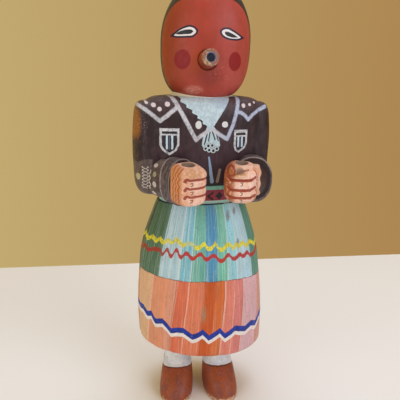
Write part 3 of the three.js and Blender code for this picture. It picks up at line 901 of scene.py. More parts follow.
def mask_finish(paint):
    """Red mask with leaf-shaped eyes and cheek discs, inside black hair that covers the crown and back."""
    lean = math.tan(math.radians(HEAD_LEAN))
    origin = (AXIS[0] + HEAD_SHIFT * math.cos(math.radians(HEAD_TURN)), AXIS[1], 0)
    r = Recipe("mask_paint", (origin[0] - lean * CHIN_Z, origin[1], 0), HEAD_TURN, HEAD_LEAN, 0.16)
    # Painted light and shade: the -X side darker orange-brown and the lower face darker towards the chin as painted
    # shade, the +X side pinker as painted light
    r.shade = r.coat(paint.mask, "93390C", r.ramp(r.x, -7, -27) * 0.85)
    r.lay("AE4A44", r.ramp(r.x, 0, 15) * 0.55)
    r.lay("8C2F1C", r.ramp(r.z, 228, 215) * r.ramp(r.x, 12, -14) * 0.6)
    r.brush(0.06, (1, 1, 0.6), 0.3)
    r.lay("8A3A20", r.patches(0.52, 0.14, 0.13, 5.0, (1, 1, 0.7), 0.6, 18.0) * 0.22)
    # Painted light and shadow about the mouth tube: orange painted light beside its -X side, and a dark red painted
    # shadow below it
    r.lay("A8420E", r.oval((-7.5, MOUTH_Z - 2.0), 4.5, 7.5, 0.7) * 0.7)
    r.lay("74241E", r.oval((0.0, MOUTH_Z - 10.0), 7.5, 5.5, 0.7) * 0.6)
    scuffed = r.patches(0.47, 0.08, 0.8, 6.0, (1, 1, 1.4), 0.75, 3.0) * r.oval((-8.8, 221.4), 5.2, 2.5, 0.5)
    r.lay("D08C7C", scuffed * 0.7)
    # A dark band along the chin's lower edge: painted shadow where the head overhangs the collar
    r.lay("541A14", r.ramp(r.z, CHIN_Z + 2.6, CHIN_Z + 0.4) * 0.7)
    rubbed = r.patches(0.585, 0.03, 0.9, 6.0, (1, 1, 1), 0.75, 23.0) * r.oval((9.0, 232.5), 9.0, 5.5, 0.5)
    r.lay("C77668", rubbed * 0.5)
    for middle, sizes in CHEEKS:
        disc = r.under(r.disc(middle, *sizes), 1.0, 0.03)
        r.lay(r.brushed(paint.cheek, 0.08, (1, 1, 1), 0.5), disc)
    for edge, pupil in EYES:
        eye = r.outside(edge, rounding=0.9)
        r.lay("100E30", r.under(eye, 0.4))
        r.lay(r.brushed("E9E7EC", 0.07, (1, 1, 1), 0.9), r.under(eye, -0.66))
        r.lay("1D2329", r.under(r.outside(pupil, rounding=0.5), 0.1))
    across = r.math("POWER", abs(r.x + FACE_SHIFT) / FACE_HALF, FACE_POWER)
    arch = across + r.math("POWER", r.higher(r.z - FACE_MIDDLE_Z, 0.0) / FACE_RISE, FACE_POWER)
    face = r.under(arch, 1.0, 0.02) * r.under(r.y, FACE_BACK_Y, 0.15)
    hair = r.coat(paint.hair, "42463E", r.patches(0.54, 0.1, 1.2, 4.0, (1.4, 1.4, 0.12), 0.6) * 0.6)
    hair = r.coat(hair, r.bare_wood(paint.wood), r.patches(0.7, 0.015, 0.45, 6.0, offset=33.0) * 0.5)
    r.shade = r.coat(hair, r.shade, face)
    edge = r.close(arch - 1.0, 0.035, 0.02) * r.under(r.y, -6.0, 0.5)
    r.lay("1C1718", edge * 0.85)
    return r.finish((0.4, 0.58), 0.3)


def collar_finish(paint):
    r = Recipe("collar_paint", (*AXIS, 0), TORSO_TURN)
    r.shade = r.brushed("DCD5BC", 0.1)
    r.lay(paint.kerchief, r.under(r.z, SHOULDER_Z - 0.6, 0.4))
    return r.finish()


def shield(r, paint, left, right, top, shoulders, point, stripes):
    """A badge: silver edge and head, a dark line across, and pale stripes on a dark ground."""
    sides = ((left, shoulders[0]), (right, shoulders[1]))
    bows = [(side * 0.72 + point[0] * 0.28, shoulder * 0.6 + point[1] * 0.4 - 1.0) for side, shoulder in sides]
    edge = r.outside([(left, top), (left, shoulders[0]), bows[0], point, bows[1], (right, shoulders[1]), (right, top)])
    silver = r.coat("8E93A4", "D5DAE2", r.patches(0.45, 0.1, 0.5, 5.0, (1, 1, 1), 0.7, 61.0))
    r.lay(silver, r.under(edge, 0.0))
    ground = r.under(edge, -1.35)
    r.lay("24202C", ground * r.under(r.z, top - 1.9))
    r.lay(silver, ground * r.close(r.z - (top - 4.0), 0.5))
    lines = r.higher(*[r.line([(x, top - 5.0), (x + 0.1, point[1] + 4.4)], 0.62) for x in stripes])
    r.lay(paint.kerchief, r.under(edge, -1.1) * lines)
    middle = sum(stripes) / len(stripes)
    r.lay("5C6088", ground * r.line([(middle, top - 5.2), (middle, point[1] + 3.6)], 0.35) * 0.8)


def jacket_finish(paint):
    """Dark jacket with silver yokes, lapels, buttons and badges over a pale neckerchief."""
    r = Recipe("jacket_paint", (*AXIS, 0), TORSO_TURN, wobble=0.32)
    ahead = r.under(r.y, 1.0, 0.8)
    # Greyer towards the shoulders' tops: painted light where the light falls on them
    r.shade = r.coat(paint.jacket, "5C4C54", r.ramp(r.z, 204, 215) * 0.8)
    r.lay("4A333C", r.patches(0.54, 0.1, 0.3, 4.0, (1, 1, 0.4), 0.65, 9.0) * 0.5)
    r.lay("180D12", r.patches(0.55, 0.08, 0.5, 4.0, (1, 1, 0.5), 0.65, 29.0) * 0.5)
    r.lay("54404C", r.oval((0.0, 180.0), 24.0, 18.0, 0.9) * 0.45)
    r.brush(0.22)
    silver = r.brushed(paint.trim, 0.2, (1, 1, 1), 0.9)
    # The trim bluer towards +X: painted bluish shade
    silver = r.coat(silver, "A9BCE0", r.ramp(r.x, 0, 14) * 0.65)
    yokes = r.lines(YOKES, 0.45)
    worn = r.ramp(r.noise(0.6, 5.0, (1, 1, 1), 0.7, 57.0), 0.36, 0.5, 0.62, 1.0)
    r.lay(silver, yokes * ahead * worn)
    studs = r.dots(STUDS)
    r.lay("DDD4DC", studs * ahead)
    for badge in BADGES:
        before = r.shade
        shield(r, paint, *badge)
        r.shade = r.coat(before, r.shade, ahead)
    scallop = r.math("SINE", r.z * 1.9) * 0.5 * r.under(r.x, -2.5, 1)
    kerchief = r.coat(paint.kerchief, "A3BDCC", r.patches(0.5, 0.1, 0.7, 4.0, (1, 1, 0.5), 0.6, 4.0) * 0.6)
    # A bluish patch on the neckerchief under the chin at +X: painted shade
    kerchief = r.coat(kerchief, "9FB6D6", r.oval((8.5, 213), 6.0, 3.2, 0.6) * 0.5)
    neck = r.outside(NECKERCHIEF) + scallop
    r.lay("1E1B28", r.under(neck, 0.55) * r.under(r.x, 2, 1) * ahead * 0.8)
    r.lay(kerchief, r.under(neck, 0.0) * ahead)
    flare = r.outside(FLARE)
    r.lay(kerchief, r.under(flare, 0.0) * ahead)
    folds = r.lines(FOLDS)
    r.lay("1E2129", folds * ahead)
    lapels = r.lines(LAPELS, 0.45)
    r.lay(silver, lapels * ahead * worn)
    buttons = r.higher(r.oval((-7.5, 200.1), 2.0, 2.5, 0.06), r.oval((9.9, 200.2), 1.95, 1.95, 0.06))
    r.lay("DCE3E8", buttons * ahead)
    rings = [r.disc(spot, 1.25) for spot in RINGS]
    nearest = r.lower(*rings)
    r.lay("1B1C27", r.under(nearest, 1.35, 0.1) * ahead)
    r.lay("C9DCE6", r.close(nearest - 0.95, 0.27, 0.08) * ahead)
    centre, along = r.stroke((-0.1, 179.2), (2.5, 163.0))
    r.lay("93B4DA", r.under(centre - along * 0.65, 0.6) * ahead)
    r.lay("96867E", r.line([(7.6, 170.6), (6.1, 163.0)], 0.95) * ahead)
    behind = r.over(r.y, 4.0, 0.8)
    seam = r.close(r.z - (203.0 - abs(r.x) * 0.18), 1.0)
    r.lay(silver, seam * behind)
    ragged = r.noise(0.7, 6.0, (1, 1, 0.6), 0.75, 2.0)
    patch = r.oval((-45.8, 201), 3.0, 10.0, 0.35) * r.over(ragged, 0.43, 0.04)
    r.lay(r.coat("AC6A1E", "74481C", r.over(ragged, 0.52, 0.05)), patch)
    flecks = r.patches(0.64, 0.02, 1.3, 4.0, offset=41.0) * r.oval((-42.0, 202), 3.2, 6.0, 0.5)
    r.lay("BDB2AE", flecks)
    elbow = r.under(r.x, -36.0, 0.5) * r.under(r.z + r.ramp(r.x, -40, -46, 0.0, 2.4), 177.8, 0.5)
    elbow = elbow * r.under(r.y, 14.0, 2.0)
    r.lay(r.coat("6E615B", "4A3E3E", r.patches(0.5, 0.08, 0.5, 5.0, (1, 1, 0.5), 0.7, 76.0) * 0.8), elbow * 0.75)
    lace = r.close(abs(r.x + 40.6) - abs(r.math("SINE", r.z * 1.5)) * 1.7, 0.34, 0.1) * r.close(r.z - 165.8, 7.3, 0.3)
    r.lay("C9C2BD", lace * elbow)
    r.lay("B5AD8C", r.oval((-44.5, 165.8), 1.1, 2.2, 0.1) * elbow)
    chips = r.patches(0.67, 0.015, 0.55, 6.0, (1, 1, 1), 0.75, 21.0) * r.over(abs(r.x), 41.0, 1.0)
    r.lay(r.bare_wood(paint.wood), chips * 0.8)
    return r.finish((0.4, 0.62))


def belt_finish(paint):
    """Turquoise-edged red belt with dark arrows and diamonds, between a dark line of painted shadow under the jacket's
    hem and a black line that is partly painted shadow where the skirt meets it.
    """
    r = Recipe("belt_paint", (*AXIS, 0), WAIST_TURN, wobble=0.2)
    # Dark above the turquoise edge, up to the jacket's hem: painted shadow under the hem
    r.shade = r.coat("20242A", r.brushed(paint.turquoise, 0.1), r.under(r.z, 159.6))
    r.lay(r.brushed(paint.belt, 0.14), r.under(r.z, 157.0))
    angle = r.math("ARCTAN2", r.x, -r.y) * (180 / math.pi)
    round_it = r.join(r.math("WRAP", angle * 0.4 - 5.0, 8.0, -8.0), 0, r.z)
    arrow = r.line([(0.4, 155.0), (-3.4, 152.7), (0.4, 150.4)], 0.65, round_it)
    diamond = r.under(r.outside([(2.3, 152.7), (5.1, 149.9), (7.9, 152.7), (5.1, 155.5)], round_it), 0.0)
    r.lay("1F1A20", r.higher(arrow, diamond))
    r.lay(r.brushed("A9D3CF", 0.1), r.under(r.z, 149.6))
    # The black line along the bottom: a painted line with pale dashes, and painted shadow where the skirt's top meets
    # the belt
    r.lay("1B2028", r.under(r.z, 147.6))
    r.lay("D8D4CC", r.line([(13.0, 147.0), (16.6, 146.9)], 0.45) * r.under(r.y, 0))
    return r.finish()


def sleeve_finish(side):
    """Worn dark sleeve, lighter on top as painted light, with a cuff between two pale lines, the outer one a painted
    highlight brightest on top, painted shade inside the cuff's open end, and ovals and a lace-like mark on its outer
    side.
    """
    elbow, wrist = np.array([side * ARM_X, 0, ELBOW_Z]), np.array(WRISTS[side > 0])
    direction = level_direction(elbow, wrist)
    yaw = TORSO_TURN + math.degrees(math.atan2(direction[0], -direction[1]))
    centre = turned(elbow, TORSO_TURN) + np.array([*AXIS, 0])
    r = Recipe(("left" if side > 0 else "right") + "_sleeve_paint", centre, yaw)
    reach = float(np.linalg.norm(wrist - elbow))
    along = -r.y
    # Lighter towards the top: painted light on the sleeve's upper face
    r.shade = r.coat("473738", "7D7270", r.ramp(r.z, 5, 13) * 0.85)
    r.lay("6A5F55", r.patches(0.52, 0.08, 0.5, 5.0, (1, 0.5, 0.5), 0.7, 6.0) * 0.6)
    r.brush(0.22)
    start = reach - CUFF_LENGTH + 1.3
    cuff = r.coat("43363A", "7A6E72", r.patches(0.52, 0.08, 0.8, 5.0, (1, 1, 0.2), 0.7, 36.0) * 0.7)
    r.lay(cuff, r.over(along, start))
    pale = r.brushed("9A9092", 0.2, (1, 1, 1), 1.2)
    stitched = r.patches(0.42, 0.06, 0.9, 4.0, offset=47.0)
    r.lay(pale, r.close(along - start, 0.6) * stitched * 0.9)
    flank = r.join(along, 0, r.z)
    outer = r.over(side * r.x, 1.5, 1.0)
    if side < 0:
        ovals = r.higher(
            r.oval((17.4, 8.7), 1.7, 1.2, 0.1, flank),
            r.oval((18.4, 3.2), 1.5, 1.7, 0.1, flank),
            r.oval((18.2, -3.4), 1.7, 2.0, 0.1, flank),
            r.oval((15.2, -9.9), 1.6, 1.4, 0.1, flank),
            r.oval((3.8, 0.4), 1.2, 2.7, 0.1, flank),
        )
        r.lay(r.coat("C2BAB4", "9C9578", r.close(r.z - 2.6, 2.4)), ovals * outer)
        spots = [(11.4 + 1.9 * (i % 2), 6.6 - 2.1 * i) for i in range(7)]
        loops = r.lower(*[r.disc(spot, 1.35, plane=flank) for spot in spots])
        zigzag = r.line([(10.6 + 3.4 * (i % 2), 7.8 - 2.0 * i) for i in range(9)], 0.28, flank)
        lace = r.higher(r.close(loops - 0.9, 0.26, 0.1), zigzag)
        r.lay("C6BFBA", lace * outer * r.patches(0.36, 0.06, 0.9, 3.0, offset=52.0))
    else:
        marks = [(28.8, 2.6, 1.4), (27.6, -9.0, 0.9), (17.0, 2.0, 1.5), (8.0, -3.0, 1.5)]
        r.lay("A79C8A", r.dots(marks, flank) * outer)
    glint = r.ramp(r.z, 3, 10, 0.12, 0.8) if side > 0 else r.ramp(r.z, 0, 10, 0.3, 0.6)
    r.lay(pale, r.over(along, reach - 1.1) * glint)
    half_width, half_height = CUFF_HALF_WIDTHS[side > 0], SLEEVE_HALF[1] + CUFF_STEP + CUFF_EXTRA_HEIGHT
    rim = r.math("POWER", abs(r.x) / (half_width - 1.1), 2.3) + r.math("POWER", abs(r.z) / (half_height - 1.2), 2.3)
    # Dark inside the rim at the cuff's open end: painted shade in the hollow
    r.lay("2A1D22", r.over(along, reach - 0.6, 0.1) * r.under(rim, 1.0, 0.05))
    scars = r.patches(0.66, 0.02, 0.6, 6.0, (1, 1, 0.7), 0.75, 58.0)
    r.lay("A39A92", scars * 0.6)
    return r.finish((0.42, 0.66))


def hand_finish(paint, side):
    """Peach hand with pale painted highlights, orange-brown painted shade down its -X side, red-brown lines in the cuts
    between the fingers, small marks and wavy bracelet lines, and painted shade deeper in its hole.
    """
    fist = np.array(FISTS[side > 0])
    centre = turned(fist, TORSO_TURN) + np.array([*AXIS, 0])
    r = Recipe(("left" if side > 0 else "right") + "_hand_paint", centre, TORSO_TURN - side * FIST_YAW, wobble=0.3)
    # Pale pink patches over the hand: painted highlights
    r.shade = r.coat(paint.skin, "EFCDC0", r.patches(0.48, 0.12, 0.3, 4.0, offset=5.0) * 0.8)
    r.lay("D08A62", r.patches(0.54, 0.08, 0.45, 4.0, (1, 1, 0.4), 0.6, 15.0) * 0.5)
    r.brush(0.1)
    ahead = r.under(r.y, 1.0, 0.6)
    line_colour = r.brushed(paint.line, 0.2, (1, 1, 1), 0.8)
    lit = r.oval((1.5, -1.0), 7.5, 9.5, 0.6) * ahead * r.patches(0.42, 0.12, 0.5, 4.0, offset=27.0)
    r.lay("F8DCD2", lit * (0.55 if side > 0 else 0.3))
    lines, marks = [], []
    for height in FINGER_LINES[side > 0]:
        for masks, (half_width, *spots) in zip((lines, marks), FINGER_STROKES[side > 0]):
            masks.append(r.line([(x, height + z) for x, z in spots], half_width))
    tanned = r.oval((-1.5, 8.2) if side < 0 else (-2.0, 8.0), 6.0, 3.0, 0.5)
    r.lay("C08C50", tanned * r.patches(0.42, 0.1, 0.5, 4.0, offset=17.0) * ahead * 0.75)
    if side < 0:
        # Orange-brown down the -X side: painted shade
        fist_shade = r.over(r.y - r.x, 1.6, 2.0) * r.under(r.x, -5.0, 1.5)
        r.lay(r.brushed("C87C3A", 0.2, (1, 1, 1), 0.5), fist_shade * 0.75)
        wave = r.math("SINE", r.z * 1.5) * 0.5
        bands = [r.close(r.y + wave - place, 0.5) for place in (1.7, -1.5, -4.3)]
        r.lay("A4501C", r.higher(*bands) * r.under(r.x, -5.2, 0.5) * 0.9)
    else:
        # Orange-brown in patches down the -X side: painted shade
        fist_shade = r.under(r.x, -4.0, 1.6) * r.patches(0.4, 0.08, 0.6, 5.0, offset=8.0)
        r.lay(r.brushed("A65418", 0.25, (1, 1, 1), 0.6), fist_shade * 0.9)
        ring = r.close(r.disc((-6.2, 8.6), 2.1, 2.6) - 1.0, 0.24, 0.1)
        r.lay("8C3A1C", ring * ahead)
        r.lay("8C3A1C", r.line([(-4.6, 6.4), (-0.6, 8.4), (4.0, 9.4)], 0.5) * ahead * 0.8)
        r.lay("6E5246", r.oval((-1.0, 8.6), 2.6, 1.8, 0.4) * ahead * 0.8)
        wave = r.math("SINE", r.z * 1.2) * 0.6
        bands = [r.close(r.y + wave - place, 0.45) for place in (-6.2, -3.2)]
        r.lay(paint.line, r.higher(*bands) * r.over(r.x, 7.0, 0.6) * 0.85)
        r.lay("3A2A2C", r.over(r.x + r.math("SINE", r.z * 0.9) * 0.5, 12.2, 0.3))
    r.lay(line_colour, r.higher(*lines) * ahead * 0.95)
    r.lay("6E2C28", r.higher(*marks) * ahead * 0.9)
    specks = r.patches(0.65, 0.02, 1.0, 6.0, offset=63.0)
    r.lay("9C5A34", specks * 0.5)
    hole = r.vector("DISTANCE", r.vector("MULTIPLY", r.true_point, (1, 1, 0)), (0, 0, 0))
    # Inside the hole, darker deeper in: painted shade in the bore
    inside = r.coat("9A8478", "5A4A44", r.close(r.z, 9.0, 2.0))
    r.lay(inside, r.under(hole, BORE_RADIUS + 0.35, 0.15))
    return r.finish((0.38, 0.58), 0.4, r.higher(*lines) * -0.25)


# The stripes' round starts this many degrees from the front, towards -X
SEAM_ANGLE = 84.0
# Where each stripe of the skirt starts, in degrees round from the front towards +X, with its colour
UPPER_STRIPES = (
    (-84, "44694A"), (-55, "A3C6D4"), (-33.5, "70B8CC"), (-19.5, "64AEA0"), (-3, "4090BA"), (11.2, "68B9A4"),
    (24.5, "88CCDC"), (36, "A6D0E2"), (59, "478674"), (84, "3F6E5E"), (104, "8FB9B4"), (128, "5B907E"),
    (152, "84B0BA"), (176, "78B29C"), (200, "4C8DB6"), (214, "A3C9CC"), (238, "5E8C7C"), (256, "3F5A44"),
)  # fmt: skip
LOWER_STRIPES = (
    (-84, "DAB288"), (-61, "D8906A"), (-42, "D4937A"), (-34, "D26846"), (-20.7, "D97A56"), (-3.2, "C25208"),
    (9.3, "CE692C"), (20.5, "D67A6A"), (33, "D27C78"), (43.8, "D4AEB8"), (66, "CA9488"), (84, "CC8F7E"),
    (104, "D97E62"), (128, "D9895E"), (152, "D98A62"), (176, "CC7A52"), (200, "DDA07A"), (232, "C98F63"),
)  # fmt: skip
# Narrow pale lines between and within the stripes, each with its half width in degrees
UPPER_LINES = (
    (-51, 0.5), (-44, 0.3), (-33.8, 0.9), (-27, 0.35), (-19.6, 0.6), (24.8, 0.8), (36.5, 0.7), (42, 0.35),
    (48, 0.5),
)  # fmt: skip
LOWER_LINES = ((-60.6, 1.0), (-20.7, 0.7), (21.7, 0.9), (33, 0.6), (44.2, 0.55))
LOWER_SEAMS = ((-34.6, 0.35), (-3.4, 0.4), (20.4, 0.35), (43.4, 0.3))
# Painted lines over the front, as (degrees, height), and their heights where they start and end behind
YELLOW_LINE = (
    (-83, 123), (-76, 121.5), (-70, 124), (-64, 121.5), (-60, 124), (-54, 121.5), (-50, 124), (-45, 122.5),
    (-41, 125), (-36, 123), (-32, 121), (-25, 123), (-20, 122), (-16, 120), (-11, 120), (-5, 122.5), (0, 119),
    (5, 119.5), (10, 122.5), (15, 118), (20, 118), (25, 120.5), (31, 120.5), (34, 117.5), (39, 120.5),
    (43, 118), (50, 120), (53, 117), (62, 119), (70, 116),
)  # fmt: skip
RED_LINE = (
    (-83, 114), (-78, 116), (-72, 114.5), (-65, 116), (-57, 116.5), (-53, 114), (-49, 117.5), (-44, 113.3),
    (-39, 118), (-33, 113.3), (-27, 116.2), (-19, 113), (-10, 115.7), (-2, 112.3), (7, 114.5), (17, 110.5),
    (27, 114), (33, 110.8), (43, 112.7), (47, 111), (53, 112.7), (59, 109.8), (67, 112),
)  # fmt: skip
BLUE_LINE = (
    (-83, 69), (-76, 69.5), (-71, 69.9), (-65, 66.9), (-60, 68.4), (-54, 64), (-46, 66), (-37, 60), (-31, 61.2),
    (-24, 62), (-14, 57.8), (-9, 59), (-3, 61.5), (4, 57.4), (16, 62.2), (22, 57.9), (34, 62.2), (47, 60),
    (54, 62.7), (63, 60), (70, 66),
)  # fmt: skip


def skirt_finish(paint):
    """Skirt of upright stripes, greens and blues above a border and oranges below it, with a yellow and a red
    zigzag over the greens and a blue wavy band edged with white over the oranges."""
    r = Recipe("skirt_paint", (AXIS[0] + SKIRT_SHIFT / 2, AXIS[1], 0), 0.0, wobble=0.3)
    angle = r.math("ARCTAN2", r.x, -r.y) * (180 / math.pi) - r.ramp(r.z, HEM_Z, WAIST_Z, HEM_TURN, WAIST_TURN)
    angle = r.math("WRAP", angle, 360 - SEAM_ANGLE, -SEAM_ANGLE)
    # The brush marks run down the cloth and fan out with it
    r.true_point = r.join(angle * 0.75, 0.0, r.z)
    low = r.ramp(r.z, HEM_Z, WAIST_Z - 20, 1.0, 0.0)
    height = r.z + r.x * low * (HEM_SLANT / SKIRT_HALF)
    fanned = r.ramp(r.z, 100, 140, 0.0, 3.6) * r.ramp(angle, 0, 10) * r.ramp(angle, 42, 54, 1.0, 0.0)
    upper_angle = angle - fanned
    lower_angle = angle - r.ramp(r.z, 45, 86, -4.8, 0.0, eased=False)

    def striped(angle, stripes, lines, line_colour, light, dark, streaks, shown=1.0):
        r.shade = r.bands((angle + SEAM_ANGLE) / 360, [((start + SEAM_ANGLE) / 360, code) for start, code in stripes])
        r.brush(0.13, (1, 1, 0.08), 0.6)
        r.lay(light, r.ramp(r.noise(1.0, 5.0, (1, 1, 0.03), 0.65, 19.0), 0.46, 0.7) * streaks[0] * shown)
        r.lay(dark, r.ramp(r.noise(1.3, 5.0, (1, 1, 0.05), 0.65, 73.0), 0.5, 0.75) * streaks[1])
        mask = r.higher(*[r.close(angle - place, width, 0.3) for place, width in lines])
        broken = r.patches(0.38, 0.12, 0.5, 4.0, (1, 1, 0.15), 0.6, 12.0)
        r.lay(line_colour, mask * broken * 0.75)

    dark_ends = r.higher(r.under(angle, -54.5, 1.0), r.over(angle, 59.5, 1.0))
    striped(upper_angle, UPPER_STRIPES, UPPER_LINES, "D2E4E2", "D6E6EA", "4E7E7C", (0.62, 0.3), 1.0 - dark_ends * 0.65)
    speckled = r.patches(0.64, 0.03, 1.6, 5.0, (1, 1, 0.5), 0.7, 81.0)
    r.lay("DCEBEA", speckled * 0.45 * (1.0 - dark_ends * 0.6))
    # A dark brown strip down the skirt's -X edge above the yellow line: painted shade
    skirt_side_shade = r.under(angle, -80.5, 0.6) * r.over(height, 124.5, 1.0)
    r.lay("33241C", skirt_side_shade * 0.9)
    stains = r.higher(
        r.oval((15.4, 139.3), 1.3, 3.6, 0.4),
        r.oval((20.3, 141.6), 1.0, 2.6, 0.4),
        r.oval((22.6, 121.5), 1.1, 2.0, 0.4),
    )
    r.lay("7B6873", stains * r.under(r.y, 0) * r.patches(0.4, 0.08, 0.8, 4.0, (1, 1, 0.5), 0.7, 84.0) * 0.75)
    upper = r.shade
    plain = 1.0 - 0.7 * r.close(lower_angle - 3.0, 6.2, 0.5)
    striped(lower_angle, LOWER_STRIPES, LOWER_LINES, "E8B9A6", "E8A78E", "A4583C", (0.5, 0.22), plain)
    seams = r.higher(*[r.close(lower_angle - place, width, 0.25) for place, width in LOWER_SEAMS])
    r.lay("84402C", seams * 0.5)
    blot = r.oval((-1.6, 74.5), 1.5, 5.5, 0.6) * r.under(r.y, 0) * r.patches(0.42, 0.1, 0.6, 4.0, offset=88.0)
    r.lay("8C8C72", blot * 0.75)
    border = 97.0 + r.ramp(angle, 20, 75, 0.0, -2.0) + r.ramp(angle, -20, -80, 0.0, 1.8)
    r.lay(upper, r.over(height, border, 0.2))
    r.lay("5E4436", r.close(height - border, 0.32, 0.15) * r.patches(0.42, 0.08, 0.4, 4.0, offset=90.0) * 0.7)

    def line_round(spots, period, swing, handle="VECTOR"):
        """The drawn line over the front, and an even zigzag behind that runs between its two ends."""
        (first, start), (last, end) = spots[0], spots[-1]
        even = r.ramp(angle, last, first + 360.0, end, start, eased=False)
        even = even + (r.math("PINGPONG", angle - last, period / 2) * (4 / period) - 1.0) * swing
        behind = r.over(angle, last, 0.5)
        return r.drawn(angle, spots, handle) * (1.0 - behind) + even * behind

    ragged = (r.noise(1.1, 4.0, offset=92.0) - 0.5) * 1.6
    yellow = r.brushed(paint.yellow, 0.2, (1, 1, 1), 0.9)
    yellow = r.coat(yellow, "A8A63A", r.patches(0.53, 0.08, 0.7, 4.0, offset=5.0) * 0.7)
    worn = r.patches(0.36, 0.06, 0.5, 5.0, offset=95.0) * (1.0 - r.close(angle + 23, 6.0, 2.0) * 0.45)
    r.lay(yellow, r.close(height + ragged - line_round(YELLOW_LINE, 11.0, 1.6), 1.5, 0.25) * worn * 0.94)
    # The red zigzag darker towards -X: painted shade
    red = r.coat(r.brushed(paint.red, 0.16, (1, 1, 1), 0.8), "8C3A24", r.under(angle, -48, 6) * 0.6)
    chipped = r.patches(0.33, 0.03, 1.0, 6.0, offset=98.0)
    r.lay(red, r.close(height + ragged * 0.35 - line_round(RED_LINE, 13.0, 1.9, "AUTO"), 1.45, 0.2) * chipped * 0.96)
    blue_line = line_round(BLUE_LINE, 19.0, 2.0)
    white = r.brushed("E6E1DE", 0.07, (1, 1, 1), 0.6)
    r.lay(white, r.close(height - (blue_line - 3.3), 1.5))
    blue = r.coat(paint.blue, "10206C", r.patches(0.53, 0.1, 0.35, 4.0, offset=7.0) * 0.7)
    r.lay(r.brushed(blue, 0.16, (1, 1, 1), 0.6), r.close(height - blue_line, 2.05))
    grime = r.patches(0.645, 0.03, 0.9, 6.0, offset=50.0)
    r.lay("6A5548", grime * 0.45)
    nicks = r.patches(0.71, 0.012, 0.5, 7.0, offset=54.0)
    r.lay(r.bare_wood(paint.wood), nicks)
    r.lay(r.bare_wood(paint.wood), r.under(height, HEM_Z + 0.2, 0.2))
    return r.finish((0.44, 0.64))


def leggings_finish(paint):
    """White leggings, bluer in patches and lightly soiled."""
    r = Recipe("leggings_paint", (*AXIS, 0))
    r.shade = r.coat(paint.leggings, "C2CEE2", r.patches(0.48, 0.14, 0.16, 3.0, offset=2.0) * 0.5)
    r.brush(0.07)
    stains = r.patches(0.6, 0.03, 0.5, 6.0, offset=6.0)
    r.lay("8E8266", stains * 0.35)
    return r.finish((0.4, 0.58))


def shoes_finish(paint):
    """Rust-brown shoes below the leggings' ends, rubbed to bare wood along the toes' lower edge."""
    r = Recipe("shoes_paint", (*AXIS, 0))
    r.shade = r.coat(paint.shoes, "97491F", r.patches(0.5, 0.1, 0.13, 4.0, offset=3.0) * 0.65)
    r.lay("7A4644", r.patches(0.53, 0.08, 0.16, 4.0, (1, 1, 0.5), 0.6, 9.0) * 0.6)
    r.brush(0.14, (1, 1, 1), 0.5)
    ragged = (r.noise(0.5, 6.0, (1, 1, 1), 0.75, 11.0) - 0.5) * 8.0
    toe = 0.5 + r.ramp(r.y, -12, -24) * 2.0
    r.lay(r.coat(r.bare_wood("E0B896"), "B9704C", r.over(ragged, 0.5, 0.3) * 0.5), r.under(r.z + ragged, toe, 0.3))
    specks = r.patches(0.68, 0.012, 0.9, 6.0, offset=27.0)
    r.lay("D49A74", specks * 0.85)
    top = 19.5 - r.higher(r.y + 11.0, 0.0) * 0.2
    white = r.coat(paint.leggings, "C2CEE2", r.patches(0.48, 0.14, 0.16, 3.0, offset=2.0) * 0.5)
    r.lay(white, r.over(r.z, top, 0.15))
    # A dark line just under the leggings' ends: painted shadow where the legging meets the shoe
    r.lay("3A1C14", r.close(r.z - (top - 0.35), 0.3, 0.15) * 0.75)
    r.lay("4E3222", r.under(r.z, 0.3, 0.15))
    return r.finish((0.4, 0.6))


def mouth_finish(paint):
    """Red-brown tube, orange on its -X side as painted light and darker underneath as painted shade, with a worn rim of
    bare wood and a blackened hole.
    """
    rise = math.radians(MOUTH_RISE)
    centre = turned(np.array([MOUTH_SHIFT, 0.4 - HEAD_HALF[1], MOUTH_Z]), HEAD_TURN) + np.array([*AXIS, 0])
    r = Recipe("mouth_paint", centre, HEAD_TURN, wobble=0.2)
    out = -r.y
    # Orange on the -X side: painted light; darker underneath: painted shade
    r.shade = r.coat(paint.mask, "A2481A", r.under(r.x, 0.0, 3.0) * 0.9)
    r.lay("6E2A1C", r.under(r.z, 0.0, 3.0) * 0.6)
    r.brush(0.14)
    flat = r.join(r.x, 0, r.z - out * math.tan(rise))
    radius = r.vector("DISTANCE", flat, (0, 0, 0))
    wood = r.bare_wood("D2B690")
    stained = r.over(r.noise(0.55, 5.0, offset=3.0) + r.ramp(r.x, -4, 4) * 0.14, 0.5, 0.05)
    wood = r.coat(wood, "8A5048", stained * 0.85)
    wood = r.coat(wood, "6A7488", r.patches(0.6, 0.05, 0.9, 5.0, offset=44.0) * 0.4)
    rim = r.over(out + r.noise(0.6, 3.0, offset=14.0) * 2.4 + r.under(r.x, -1.5, 2.0) * 1.6, MOUTH_LENGTH + 0.6, 0.2)
    r.lay(wood, rim)
    inside = r.under(radius + (r.noise(0.5, 3.0, offset=71.0) - 0.5) * 1.6, MOUTH_BORE_RADIUS + 0.3, 0.2)
    r.lay("707E9C", inside * r.over(out, MOUTH_LENGTH - MOUTH_BORE_DEPTH - 1))
    return r.finish((0.45, 0.62))


def finishes(paint):
    """The figure's finishes by name, in the order of its material slots."""
    return {
        "mask": mask_finish(paint),
        "collar": collar_finish(paint),
        "jacket": jacket_finish(paint),
        "belt": belt_finish(paint),
        "right_sleeve": sleeve_finish(-1),
        "left_sleeve": sleeve_finish(1),
        "right_hand": hand_finish(paint, -1),
        "left_hand": hand_finish(paint, 1),
        "skirt": skirt_finish(paint),
        "leggings": leggings_finish(paint),
        "shoes": shoes_finish(paint),
    }


# ---------------------------------------------------------------- operators


